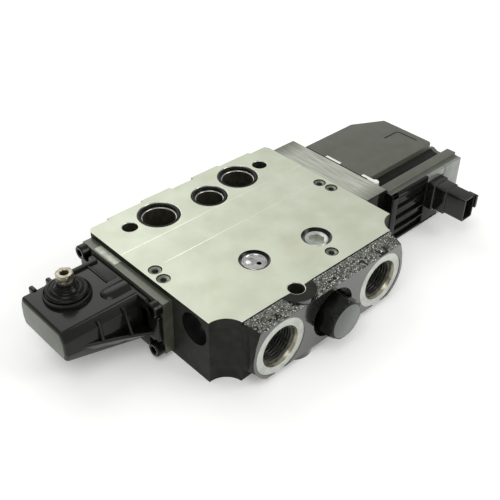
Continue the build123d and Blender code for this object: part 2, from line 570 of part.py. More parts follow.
with BuildPart() as circuit_board:
    block((114.0, hood_y0 + 4.6, 40.0), (152.0, 20.0, 41.6))
    block((120.0, -20.0, 41.6), (134.0, -6.0, 43.4))
    block((139.0, 2.0, 41.6), (148.0, 14.0, 44.0))
save(circuit_board, "circuit_board")

# ---- plug connector on the front of the electronics housing ----
root_grow = 1.2
with BuildPart() as connector_shell:
    block((conn_x0, conn_y1, conn_z0), (conn_x1, shell_y0, conn_z1))
    block((conn_x0 - root_grow, root_y, conn_z0 - root_grow), (conn_x1 + root_grow, shell_y0, conn_z1 + 0.6))
    block((conn_x0 + 1.5, conn_y1, conn_z0 + 1.5), (conn_x1 - 1.5, -66.0, conn_z1 - 1.5), Mode.SUBTRACT)
    block((conn_x1 - 1.2, conn_y1 - 5.0, 27.5), (conn_x1 + 1.2, conn_y1 + 6.0, conn_z1 - 1.0))
    for x in (conn_x0 + 4.0, conn_x1 - 4.0):
        for z in (conn_z0 + 5.6, conn_z1 - 5.6):
            bar_y(-66.0, shell_y0, x, z, 0.9, Mode.SUBTRACT)
save(connector_shell, "connector_shell")

with BuildPart() as connector_pins:
    for x in (conn_x0 + 4.0, conn_x1 - 4.0):
        for z in (conn_z0 + 5.6, conn_z1 - 5.6):
            bar_y(-78.0, room_y0 + 2, x, z, 0.8)
save(connector_pins, "connector_pins")
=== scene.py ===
"""Looks of a stackable hydraulic valve section with a lever end and an electrical actuator end.

Lengths inside this script are in millimetres and become metres when a mesh is written.
The frame is the part's own: +X along the spool, -Y towards the work ports, +Z up.
"""
import json
import logging
import math
from collections.abc import Callable, Sequence
from dataclasses import dataclass
from enum import Enum, IntEnum

import bpy
import numpy as np
from mathutils import Matrix, Vector


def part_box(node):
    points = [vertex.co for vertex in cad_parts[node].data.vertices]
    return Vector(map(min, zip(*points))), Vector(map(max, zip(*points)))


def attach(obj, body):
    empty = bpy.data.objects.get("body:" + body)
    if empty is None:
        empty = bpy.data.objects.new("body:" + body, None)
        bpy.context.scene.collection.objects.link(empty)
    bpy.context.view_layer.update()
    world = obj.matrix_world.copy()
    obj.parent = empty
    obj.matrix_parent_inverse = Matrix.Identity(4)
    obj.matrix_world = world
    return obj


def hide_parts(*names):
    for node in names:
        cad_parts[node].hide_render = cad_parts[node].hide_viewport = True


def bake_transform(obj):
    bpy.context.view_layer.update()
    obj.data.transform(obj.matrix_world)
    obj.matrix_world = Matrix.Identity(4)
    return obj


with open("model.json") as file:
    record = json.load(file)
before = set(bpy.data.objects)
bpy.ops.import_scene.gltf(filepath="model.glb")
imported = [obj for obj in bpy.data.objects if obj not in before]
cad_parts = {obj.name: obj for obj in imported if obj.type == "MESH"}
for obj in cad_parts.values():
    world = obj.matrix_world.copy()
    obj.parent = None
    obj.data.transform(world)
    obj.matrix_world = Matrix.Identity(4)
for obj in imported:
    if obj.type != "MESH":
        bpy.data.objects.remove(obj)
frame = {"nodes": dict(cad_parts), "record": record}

MM = 0.001
TAU = 2.0 * math.pi
log = logging.getLogger("valve_section")
Array = np.ndarray
Pair = tuple[float, float]
Triple = tuple[float, float, float]
Pairs = tuple[Pair, ...]
Triples = tuple[Triple, ...]
Shell = tuple[Array, list]
Tree = bpy.types.NodeTree
Socket = bpy.types.NodeSocket


# ---- where things are ----
def box(node: str) -> tuple[Array, Array]:
    """Lowest and highest corner of a CAD node in millimetres."""
    low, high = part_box(node)
    return np.array(low) / MM, np.array(high) / MM


def mount(name: str) -> tuple[Array, float]:
    """Place and radius of one of the record's mounts.

    Args:
        name: the mount's name in the record.

    Returns:
        Its position in millimetres, and its radius, which is 0 for a flat face.
    """
    found = next(m for m in frame["record"]["mounts"] if m["name"] == name)
    return np.array(found["pos_m"]) / MM, float(found["dims"].get("r_mm", 0.0))


# ---- node and colour helpers ----
def linear(colour: str) -> tuple[float, float, float, float]:
    """Turn an sRGB hex colour such as "c8ccb8" into linear red, green, blue and alpha."""
    channels = [int(colour[i:i + 2], 16) / 255 for i in (0, 2, 4)]
    curved = [c / 12.92 if c <= 0.04045 else ((c + 0.055) / 1.055) ** 2.4 for c in channels]
    return (*curved, 1.0)


def add(tree: Tree, kind: str, settings: dict | None = None, links: dict | None = None) -> bpy.types.Node:
    """Add one node with its settings and links.

    Args:
        tree: the material's node tree.
        kind: Blender's name of the node type.
        settings: attributes by name, or socket defaults by socket name or number.
        links: source sockets by the input's name or number.

    Returns:
        The new node.
    """
    node = tree.nodes.new(kind)
    for key, value in (settings or {}).items():
        if isinstance(key, str) and hasattr(node, key):
            setattr(node, key, value)
        else:
            node.inputs[key].default_value = value
    for key, source in (links or {}).items():
        tree.links.new(source, node.inputs[key])
    return node


def ramp(tree: Tree, value: Socket, start: float, stop: float, low: float = 0.0, high: float = 1.0) -> Socket:
    """Carry a value's range from start to stop over to low to high."""
    limits = {"From Min": start, "From Max": stop, "To Min": low, "To Max": high}
    return add(tree, "ShaderNodeMapRange", limits, {"Value": value}).outputs["Result"]


# ---- finishes ----
@dataclass(frozen=True)
class Finish:
    """A surface: two close colours mottled together, with grain in its gloss and its relief.

    The grain is noise on Object coordinates; its size is a real size in millimetres, and
    stretch draws it out along an axis, as a brush or a milling cutter does.
    """

    name: str
    colour: str
    shade: str
    metallic: float = 0.0
    roughness: float = 0.4
    gloss_spread: float = 0.08
    grain: float = 1.0
    relief: float = 0.02
    patch: float = 14.0
    stretch: Triple = (1.0, 1.0, 1.0)
    coat: float = 0.0
    coat_roughness: float = 0.05
    ior: float = 1.5
    glow: float = 0.0

    def pattern(self, tree: Tree, size: float, detail: float = 3.0) -> Socket:
        """Noise of a feature size in millimetres, drawn out by the finish's stretch."""
        place = add(tree, "ShaderNodeTexCoord")
        turned = add(tree, "ShaderNodeMapping", {"Scale": self.stretch}, {"Vector": place.outputs["Object"]})
        noise = add(tree, "ShaderNodeTexNoise", {"Scale": 1 / (size * MM), "Detail": detail},
                    {"Vector": turned.outputs["Vector"]})
        return noise.outputs["Fac"]

    def colours(self, tree: Tree) -> Socket:
        """Mottle of the two colours in soft patches."""
        spread = ramp(tree, self.pattern(tree, self.patch), 0.35, 0.65)
        pair = {"data_type": "RGBA", 6: linear(self.colour), 7: linear(self.shade)}
        return add(tree, "ShaderNodeMix", pair, {0: spread}).outputs[2]

    def overlaid(self, tree: Tree, colour: str, mask: Socket) -> Socket:
        """The plain mottle with a further colour over it where a mask is high."""
        mixed = add(tree, "ShaderNodeMix", {"data_type": "RGBA", 7: linear(colour)},
                    {0: mask, 6: Finish.colours(self, tree)})
        return mixed.outputs[2]

    def build(self) -> bpy.types.Material:
        """Make the material once and return it again on later calls."""
        made = bpy.data.materials.get(self.name)
        if made is not None:
            return made
        made = bpy.data.materials.new(self.name)
        made.use_nodes = True
        tree = made.node_tree
        surface = tree.nodes["Principled BSDF"]
        fine = self.pattern(tree, self.grain)
        gloss = ramp(tree, fine, 0.0, 1.0, max(0.02, self.roughness - self.gloss_spread),
                     self.roughness + self.gloss_spread)
        relief = {"Strength": 0.6, "Distance": self.relief * MM}
        raised = add(tree, "ShaderNodeBump", relief, {"Height": fine})
        settings = {"Metallic": self.metallic, "IOR": self.ior, "Coat Weight": self.coat,
                    "Coat Roughness": self.coat_roughness, "Emission Color": linear("ffffff"),
                    "Emission Strength": self.glow}
        for socket, value in settings.items():
            surface.inputs[socket].default_value = value
        links = {"Base Color": self.colours(tree), "Roughness": gloss, "Normal": raised.outputs["Normal"]}
        for socket, source in links.items():
            tree.links.new(source, surface.inputs[socket])
        return made


@dataclass(frozen=True)
class StainedFinish(Finish):
    """A ground face with a few faint, warm oil stains over its own mottle."""

    stain: str = "b5ae8c"
    stain_size: float = 30.0
    stain_share: float = 0.30

    def colours(self, tree: Tree) -> Socket:
        """The plain mottle with stains where a broad noise is high."""
        mask = ramp(tree, self.pattern(tree, self.stain_size, 6.0), 0.56, 0.74, 0.0, self.stain_share)
        return self.overlaid(tree, self.stain, mask)


@dataclass(frozen=True)
class GlintPaintedFinish(Finish):
    """Paint over rough cast skin, with bright flecks on the sharpest grains: painted glints of the lights."""

    fleck: str = "e6e8e0"
    fleck_size: float = 0.95
    fleck_share: float = 0.585

    def colours(self, tree: Tree) -> Socket:
        """The dark mottle with bright flecks where a fine noise is high."""
        mask = ramp(tree, self.pattern(tree, self.fleck_size, 5.0), self.fleck_share, self.fleck_share + 0.07)
        return self.overlaid(tree, self.fleck, mask)


@dataclass(frozen=True)
class ShadePaintedEndsFinish(Finish):
    """A finish that darkens towards its two ends along Y: painted shade at the ends of the part."""

    edge: str = "5d5f50"
    middle: float = -8.0
    reach: Pair = (30.0, 48.0)

    def colours(self, tree: Tree) -> Socket:
        """The plain mottle, mixed to the edge colour, the painted shade, by the distance from the middle
        along Y.
        """
        at = add(tree, "ShaderNodeTexCoord")
        parts = add(tree, "ShaderNodeSeparateXYZ", links={"Vector": at.outputs["Object"]})
        away = add(tree, "ShaderNodeMath", {"operation": "SUBTRACT", 1: self.middle * MM},
                   {0: parts.outputs["Y"]})
        far = add(tree, "ShaderNodeMath", {"operation": "ABSOLUTE"}, {0: away.outputs["Value"]})
        start, stop = self.reach
        mask = ramp(tree, far.outputs["Value"], start * MM, stop * MM, 0.0, 0.8)
        return self.overlaid(tree, self.edge, mask)


# Ground cast iron: pale, warm grey, nearly matt, with faint oil stains.
GROUND_IRON = StainedFinish("ground_cast_iron", "d3d8c6", "c6ccb8", 0.55, 0.46, 0.05, 0.5, 0.006, 22.0)
# Bright line left where two grinding passes meet.
GRIND_LINE = Finish("grinding_witness_line", "f4f5ea", "e2e6d4", 0.6, 0.3, 0.05, 0.6, 0.004)
# Gloss black enamel over a sand casting: deep black that mirrors the studio, slightly wavy.
CAST_ENAMEL = Finish("gloss_enamel_on_casting", "131513", "1b1e1b", 0.0, 0.22, 0.06, 3.2, 0.05, 9.0, coat=1.0,
                     coat_roughness=0.06, ior=1.6)
# Enamel on the end faces, in the hollow corners and on the port block's flanks, made darker as painted shade,
# with little gloss.
SHADE_PAINTED_ENAMEL = Finish("enamel_with_painted_shade_on_casting", "1b1c18", "252620", 0.0, 0.5, 0.1, 1.8, 0.12, 6.0, ior=1.25)
# The same enamel on smooth, machined or die-cast surfaces.
SMOOTH_ENAMEL = Finish("gloss_enamel_smooth", "141512", "1d1f1a", 0.0, 0.18, 0.05, 5.0, 0.03, 12.0, coat=1.0,
                       coat_roughness=0.04)
# Black enamel of the hexagon plug, darker than the other enamel partly as painted shade, with a weak mirror;
# on the lever cover's top the same enamel is a painted shadow.
PLUG_ENAMEL_AND_SHADOW = Finish("black_plug_enamel_and_painted_shadow", "0a0a09", "12120f", 0.0, 0.2, 0.05, 4.0, 0.01, 10.0, ior=1.3)
# Semi-gloss olive black enamel of the lever cover.
COVER_ENAMEL = Finish("olive_black_cover_enamel", "14150f", "0f100c", 0.0, 0.2, 0.05, 4.0, 0.02, 12.0,
                      coat=0.12, coat_roughness=0.05, ior=1.3)
# The cover's end: a pale copy of the same enamel, painted light standing in for the light the end face
# catches.
LIGHT_PAINTED_ENAMEL = Finish("cover_enamel_with_painted_light", "61655c", "73786f", 0.0, 0.4, 0.06, 4.0, 0.02, 16.0, ior=1.35)
# Rough sand-cast skin under thin paint, with painted glints of the lights at its grains.
ROUGH_SKIN = GlintPaintedFinish("rough_cast_skin", "1f1f16", "6f7069", 0.3, 0.3, 0.2, 1.3, 0.7, 1.9, coat=0.4)
# Spot face cut through the paint: bare silver iron.
SPOT_FACE = Finish("turned_bare_iron", "c9ccc4", "b4b8b0", 0.8, 0.36, 0.06, 0.4, 0.008, 6.0)
# Thread and bore walls: darker bare iron; in the bores the dark is painted shade.
BORE_IRON = Finish("bored_iron_with_painted_shade", "5e5b4e", "45443a", 0.65, 0.4, 0.08, 0.8, 0.02, 5.0)
LEAD_IN = Finish("bare_iron_lead_in", "aaa791", "8a887a", 0.85, 0.26, 0.06, 0.5, 0.01, 4.0)
# Edge broken with a countersink: the brightest bare iron.
BROKEN_EDGE = Finish("bright_broken_edge", "e4e6da", "c9cbbf", 0.85, 0.25, 0.05, 0.5, 0.006, 3.0)
THREAD_IRON = Finish("cut_thread_iron", "565650", "3a3a37", 0.8, 0.3, 0.08, 0.8, 0.02, 4.0)
SEAT_IRON = Finish("counterbored_iron", "85877c", "6c6e64", 0.8, 0.36, 0.06, 0.4, 0.01, 5.0)
# Black oxide: dark steel that still shows bright highlights.
BLACK_OXIDE = Finish("black_oxide_steel", "33332f", "22221f", 0.9, 0.24, 0.08, 0.7, 0.01, 3.0)
# Zinc plate: bright and slightly cool.
ZINC = Finish("zinc_plate", "e8eae6", "d4d7d2", 0.9, 0.24, 0.07, 0.6, 0.008, 4.0)
# Nickel plate with a warm tone, worn at the flats.
NICKEL = Finish("nickel_plate", "aaa593", "8a8573", 0.9, 0.26, 0.06, 0.7, 0.004, 3.0)
DULL_NICKEL = Finish("dull_nickel_plate", "6f6b5d", "545147", 0.9, 0.3, 0.08, 0.7, 0.004, 3.0)
STEEL = Finish("ground_steel", "c8c9c6", "b0b1ae", 1.0, 0.22, 0.06, 0.5, 0.006, 5.0)
SPRING_STEEL = Finish("oiled_spring_wire", "6c6a66", "504f4c", 0.9, 0.3, 0.06, 0.5, 0.01, 3.0)
BRASS = Finish("turned_brass", "b99a54", "9c7f40", 1.0, 0.26, 0.06, 0.5, 0.006, 4.0)
# Nitrile rubber: black, with a dull sheen.
RUBBER = Finish("nitrile_rubber", "0a0a08", "10100e", 0.0, 0.17, 0.05, 0.6, 0.01, 4.0, ior=1.24)
# Satin grey-olive enamel on the adapter plate, brushed flat before painting.
PLATE_ENAMEL = Finish("satin_olive_enamel", "5c5f52", "4c4f43", 0.3, 0.34, 0.06, 0.7, 0.01, 10.0,
                      stretch=(1.0, 0.2, 1.0), coat=0.3)
# Milled aluminium, drawn out along Y by the cutter, with painted shade darkening its two ends along Y.
MILLED_ALUMINIUM = ShadePaintedEndsFinish("milled_aluminium_with_painted_shade", "cfd1c6", "aaada2", 0.7, 0.40, 0.08, 0.3, 0.02, 1.1,
                               stretch=(1.0, 0.05, 1.0))
# Glass-filled nylon: satin, slightly olive black.
NYLON = Finish("moulded_glass_filled_nylon", "55584d", "4c4f45", 0.0, 0.40, 0.05, 0.45, 0.02, 12.0, ior=1.6)
# Polished nylon faces of the same mouldings.
GLOSS_NYLON = Finish("gloss_moulded_nylon", "121210", "1b1b18", 0.0, 0.14, 0.04, 1.5, 0.012, 8.0, coat=0.3,
                     ior=1.4)
# The darkest faces of the housing, which mirror little but their edges; the same black makes the painted
# shade on the aluminium block's front and the painted shadow in the hood's groove.
BLACK_NYLON_AND_SHADE = Finish("black_moulded_nylon_and_painted_shade", "0e0e0c", "151513", 0.0, 0.12, 0.04, 1.5, 0.01, 8.0, ior=1.24)
# End face of the hexagon plug: a grey, paler copy of the black enamel.
GREY_FACE_ENAMEL = Finish("grey_plug_face_enamel", "4e524e", "575b56", 0.0, 0.34, 0.06, 0.8, 0.008, 12.0, coat=0.3)
# A pale copy of the same moulding: painted light on the housing's end and along the top of its front face.
LIGHT_PAINTED_NYLON = Finish("moulded_nylon_with_painted_light", "6d706c", "7d807b", 0.0, 0.3, 0.06, 0.6, 0.01, 9.0, coat=0.4)
WHITE_NYLON = Finish("white_moulded_nylon", "eef0ea", "dfe2d8", 0.0, 0.42, 0.05, 0.5, 0.012, 6.0)
LABEL = Finish("printed_label_film", "b9bdb0", "9da294", 0.2, 0.3, 0.05, 0.8, 0.004, 3.0)
RESIN = Finish("potting_resin", "1b1c1f", "26282c", 0.0, 0.3, 0.06, 1.0, 0.01)
SOLDER_RESIST = Finish("solder_resist", "1d4a2c", "173c24", 0.0, 0.3, 0.05, 1.0, 0.006, coat=0.3)
FLOOR = Finish("studio_floor_paper", "fafaf9", "f7f7f6", 0.0, 0.9, 0.02, 4.0, 0.01, 60.0, glow=0.16)


# ---- shapes ----
@dataclass(frozen=True)
class Outline:
    """A closed polygon, anticlockwise, with an arc at each corner.

    An inset keeps each arc's centre and changes its radius: smaller at an outer corner,
    larger at an inner one, and a sharp corner once the inset passes the radius.
    """

    corners: Pairs
    radius: float | tuple[float, ...] = 1.0
    steps: int = 6

    def loop(self, inset: float = 0.0) -> Array:
        """Points of the outline moved inwards by inset, as an N by 2 array."""
        points = np.array(self.corners, float)
        radii = np.broadcast_to(np.array(self.radius, float), (len(points),))
        into = points - np.roll(points, 1, 0)
        into /= np.linalg.norm(into, axis=1)[:, None]
        out = np.roll(into, -1, 0)
        normal_in = np.stack([-into[:, 1], into[:, 0]], 1)
        normal_out = np.stack([-out[:, 1], out[:, 0]], 1)
        turn = np.arctan2(into[:, 0] * out[:, 1] - into[:, 1] * out[:, 0], (into * out).sum(1))
        side = np.where(turn >= 0, 1.0, -1.0)
        reach = np.where(side > 0, np.maximum(radii, inset), -radii)
        radius = np.where(side > 0, reach - inset, radii + inset)
        middle = (normal_in + normal_out) / (1 + (normal_in * normal_out).sum(1))[:, None]
        centre = points + reach[:, None] * middle
        start = np.arctan2(-side * normal_in[:, 1], -side * normal_in[:, 0])
        angle = start[:, None] + turn[:, None] * np.linspace(0, 1, self.steps + 1)[None, :]
        arc = np.stack([np.cos(angle), np.sin(angle)], 2) * radius[:, None, None]
        return (centre[:, None, :] + arc).reshape(-1, 2)


def rectangle(x0: float, y0: float, x1: float, y1: float, radius: float = 1.0, steps: int = 5) -> Outline:
    """A rectangle between two corners, with rounded corners."""
    return Outline(((x0, y0), (x1, y0), (x1, y1), (x0, y1)), radius, steps)


class Along(Enum):
    """The axis that a profile is carried along; the other two axes hold the profile."""

    X = (2, 0, 1)
    Y = (0, 2, 1)
    Z = (0, 1, 2)


def place(flat: Array, height: float, along: Along) -> Array:
    """Put N by 2 profile points at a height along an axis, as N by 3 points."""
    full = np.column_stack([flat, np.full(len(flat), height)])
    return full[:, along.value]


def grid(points: Array, close_rows: bool = False, caps: bool = True) -> Shell:
    """Join a grid of points with quads; columns always close on themselves.

    Args:
        points: rows by columns by 3.
        close_rows: the last row joins the first, as in a ring.
        caps: the first and last rows are filled.

    Returns:
        The points as N by 3 and the list of faces, turned outwards.
    """
    rows, columns = points.shape[:2]
    number = np.arange(rows * columns).reshape(rows, columns)
    lower = number if close_rows else number[:-1]
    upper = np.roll(number, -1, 0) if close_rows else number[1:]
    quads = np.stack([lower, np.roll(lower, -1, 1), np.roll(upper, -1, 1), upper], 2).reshape(-1, 4)
    faces = quads.tolist()
    if caps and not close_rows:
        faces += [number[0, ::-1].tolist(), number[-1].tolist()]
    flat = points.reshape(-1, 3)
    return outward((flat, faces), quads)


def outward(shell: Shell, quads: Array) -> Shell:
    """Turn every face round if the quads enclose a negative volume about the piece's centre."""
    points, faces = shell
    centred = points - points.mean(0)
    a, b, c, d = (centred[quads[:, k]] for k in range(4))
    volume = (np.cross(b, c) * a).sum() + (np.cross(c, d) * a).sum()
    return (points, [face[::-1] for face in faces]) if volume < 0 else shell


def loft(sections: Sequence[tuple[Outline, float, float]], along: Along) -> Shell:
    """Skin a row of outlines, each given with its inset and its height along the axis."""
    return grid(np.stack([place(shape.loop(inset), height, along) for shape, inset, height in sections]))


def rounding(edge: float, steps: int = 4) -> list[Pair]:
    """A quarter round from a flat face to a side, as inset and depth below the face."""
    angles = np.linspace(0, math.pi / 2, steps + 1)
    return [(edge * (1 - math.sin(a)), edge * (1 - math.cos(a))) for a in angles]


def prism(shape: Outline, low: float, high: float, along: Along, edge: float = 0.5,
          low_edge: float | None = None) -> Shell:
    """Carry an outline straight along an axis, with quarter rounds at both ends."""
    start = [(shape, inset, low + depth) for inset, depth in rounding(edge if low_edge is None else low_edge)]
    finish = [(shape, inset, high - depth) for inset, depth in reversed(rounding(edge))]
    return loft(start + finish, along)


def cuboid(low: Sequence[float], high: Sequence[float], along: Along = Along.Z, radius: float = 0.6,
           edge: float = 0.4) -> Shell:
    """A rounded box between two corners."""
    first, second, third = along.value.index(0), along.value.index(1), along.value.index(2)
    shape = rectangle(low[first], low[second], high[first], high[second], radius, 4)
    return prism(shape, low[third], high[third], along, edge)


def joined(shells: Sequence[Shell]) -> Shell:
    """Put several shells into one, renumbering their faces."""
    points, faces, start = [], [], 0
    for part, part_faces in shells:
        points.append(part)
        faces += [[index + start for index in face] for face in part_faces]
        start += len(part)
    return np.concatenate(points), faces


@dataclass(frozen=True)
class Axis:
    """A centre line: a point on it and its direction."""

    origin: Triple
    direction: Triple

    def frame(self) -> tuple[Array, Array, Array]:
        """Two cross directions and the direction itself, all of length one."""
        along = np.array(self.direction, float)
        along /= np.linalg.norm(along)
        helper = np.array([0.0, 0.0, 1.0]) if abs(along[2]) < 0.9 else np.array([1.0, 0.0, 0.0])
        first = np.cross(helper, along)
        first /= np.linalg.norm(first)
        return first, np.cross(along, first), along

    def around(self, angle: Array, radius: Array, height: Array) -> Array:
        """Points at angles and radii about the line and at heights along it, each given as a grid."""
        first, second, along = self.frame()
        across = np.cos(angle)[..., None] * first + np.sin(angle)[..., None] * second
        return np.array(self.origin) + radius[..., None] * across + height[..., None] * along


def upward(x: float, y: float, z: float = 0.0) -> Axis:
    """A vertical centre line through a point."""
    return Axis((x, y, z), (0, 0, 1))


def turned(axis: Axis, profile: Sequence[tuple[float, ...]], sides: int = 72, turn: float = 0.0,
           close: bool = False) -> Shell:
    """Turn a profile about an axis, with flats where a row asks for them.

    The radius at an angle is the row's own radius, or the distance to a hexagon's flat,
    apothem over the cosine of the angle from the flat's middle, whichever is smaller.

    Args:
        axis: the centre line.
        profile: rows of radius, height and, for a hexagon, the distance across its flats.
        sides: points round the axis, a multiple of 6.
        turn: the hexagon's angle in degrees.
        close: the last row joins the first, as in a ring.

    Returns:
        The shell, capped at both ends unless it is a ring.
    """
    angle = np.linspace(0, TAU, sides, endpoint=False) + math.radians(turn)
    flat = np.abs((angle - math.radians(turn)) % (TAU / 6) - TAU / 12)
    rows = []
    for row in profile:
        radius = np.full(sides, float(row[0]))
        if len(row) > 2:
            radius = np.minimum(radius, row[2] / 2 / np.cos(flat))
        rows.append(axis.around(angle, radius, np.full(sides, float(row[1]))))
    return grid(np.stack(rows), close_rows=close)


def thread(axis: Axis, major: float, depth: float, pitch: float, length: float) -> Shell:
    """An internal thread as a closed sleeve.

    The inner radius is major less depth times half of one plus the cosine of the helix phase,
    which is the angle round the axis plus the height over the pitch; the outer wall is plain.
    """
    sides, per_turn = 120, 10
    heights = np.linspace(0, length, int(length / pitch * per_turn) + 1)
    angle = np.linspace(0, TAU, sides, endpoint=False)
    phase = TAU * heights[:, None] / pitch + angle[None, :]
    fade = np.clip(np.minimum(heights, length - heights) / (0.4 * pitch), 0, 1)[:, None]
    ridge = np.clip(0.5 + 0.75 * np.cos(phase), 0, 1)
    radius = np.concatenate([major - 0.04 - depth * fade * ridge, np.full((2, sides), major - 0.01)])
    height = np.concatenate([heights, [length, 0.0]])
    return grid(axis.around(angle[None, :], radius, height[:, None]), close_rows=True)


def value_noise(x: Array, y: Array, size: float, seed: int) -> Array:
    """Smooth random heights from -1 to 1: lattice values of one size blended by a cubic step."""
    lattice = np.random.default_rng(seed).uniform(-1, 1, (64, 64))
    u, v = x / size, y / size
    column, row = np.floor(u).astype(int), np.floor(v).astype(int)
    s, t = u - column, v - row
    s, t = s * s * (3 - 2 * s), t * t * (3 - 2 * t)
    near = lattice[row % 64, column % 64] * (1 - s) + lattice[row % 64, (column + 1) % 64] * s
    far = lattice[(row + 1) % 64, column % 64] * (1 - s) + lattice[(row + 1) % 64, (column + 1) % 64] * s
    return near * (1 - t) + far * t


def torus(axis: Axis, major: float, half_width: float, half_height: float) -> Shell:
    """A ring of oval section: the profile is an ellipse about the ring's radius."""
    angles = np.linspace(0, TAU, 20, endpoint=False)
    profile = [(major + half_width * math.cos(a), half_height * math.sin(a)) for a in angles]
    return turned(axis, profile, 96, close=True)


def cap_screw(axis: Axis, radius: float, height: float, socket: float) -> Shell:
    """A socket head: chamfered rim, knurled side left plain, and a hexagon socket in its face."""
    rim = 0.09 * radius
    profile = [(radius - rim, 0.0), (radius, rim), (radius, height - 1.6 * rim), (radius - 1.6 * rim, height),
               (socket * 0.66, height), (socket * 0.62, height - 0.25, socket),
               (socket, height - 0.5, socket), (socket, height * 0.45, socket), (0.05, height * 0.42)]
    return turned(axis, profile, 72)


def read(items: bpy.types.bpy_prop_collection, attribute: str, kind: type = float) -> Array:
    """Three-part attribute of every vertex, triangle or face, as an N by 3 array."""
    flat = np.zeros(len(items) * 3, kind)
    items.foreach_get(attribute, flat)
    return flat.reshape(-1, 3)


def welded(mesh: bpy.types.Mesh) -> tuple[Array, Array]:
    """Points and triangles of a mesh with points nearer than a micron made one."""
    corners = read(mesh.vertices, "co")
    mesh.calc_loop_triangles()
    triangles = read(mesh.loop_triangles, "vertices", np.int32)
    microns = np.round(corners / (MM * MM))
    _, first, number = np.unique(microns, axis=0, return_index=True, return_inverse=True)
    joined_up = number.ravel()[triangles]
    whole = (joined_up != np.roll(joined_up, 1, 1)).all(1)
    return corners[first], joined_up[whole]


# ---- pieces ----
def show(name: str, data: bpy.types.ID) -> bpy.types.Object:
    """Put a mesh, a camera or a lamp into the scene as an object."""
    made = bpy.data.objects.new(name, data)
    bpy.context.scene.collection.objects.link(made)
    return made


def enter(mesh: bpy.types.Mesh, body: str, replaces: Sequence[str],
          sharp: float) -> bpy.types.Object:
    """Smooth a finished mesh up to its sharp edges, show it and let it ride on a body."""
    mesh.shade_smooth()
    mesh.set_sharp_from_angle(angle=math.radians(sharp))
    made = show(mesh.name, mesh)
    if body:
        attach(made, body)
    if replaces:
        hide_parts(*replaces)
    log.info("%s: %d faces", mesh.name, len(mesh.polygons))
    return made


def piece(name: str, shell: Shell, finish: Finish, replaces: Sequence[str] = (),
          body: str = "root", sharp: float = 32.0) -> bpy.types.Object:
    """Write a shell into a mesh and enter it as a piece.

    Args:
        name: the piece's name.
        shell: points in millimetres and faces.
        finish: its surface.
        replaces: CAD nodes that it stands for.
        body: the CAD body that it moves with; empty leaves that to the caller.
        sharp: edges that fold more than this many degrees stay crisp.

    Returns:
        The new object.
    """
    points, faces = shell
    mesh = bpy.data.meshes.new(name)
    mesh.from_pydata((points * MM).tolist(), [], faces)
    mesh.validate()
    mesh.materials.append(finish.build())
    return enter(mesh, body, replaces, sharp)


class Zone(IntEnum):
    """Finish of a face of the casting: its number is the material's place on the mesh."""

    ENAMEL = 0
    GROUND = 1
    SPOT_FACE = 2
    LEAD_IN = 3
    BORE = 4
    SEAT = 5
    SHADE_PAINTED_ENAMEL = 6


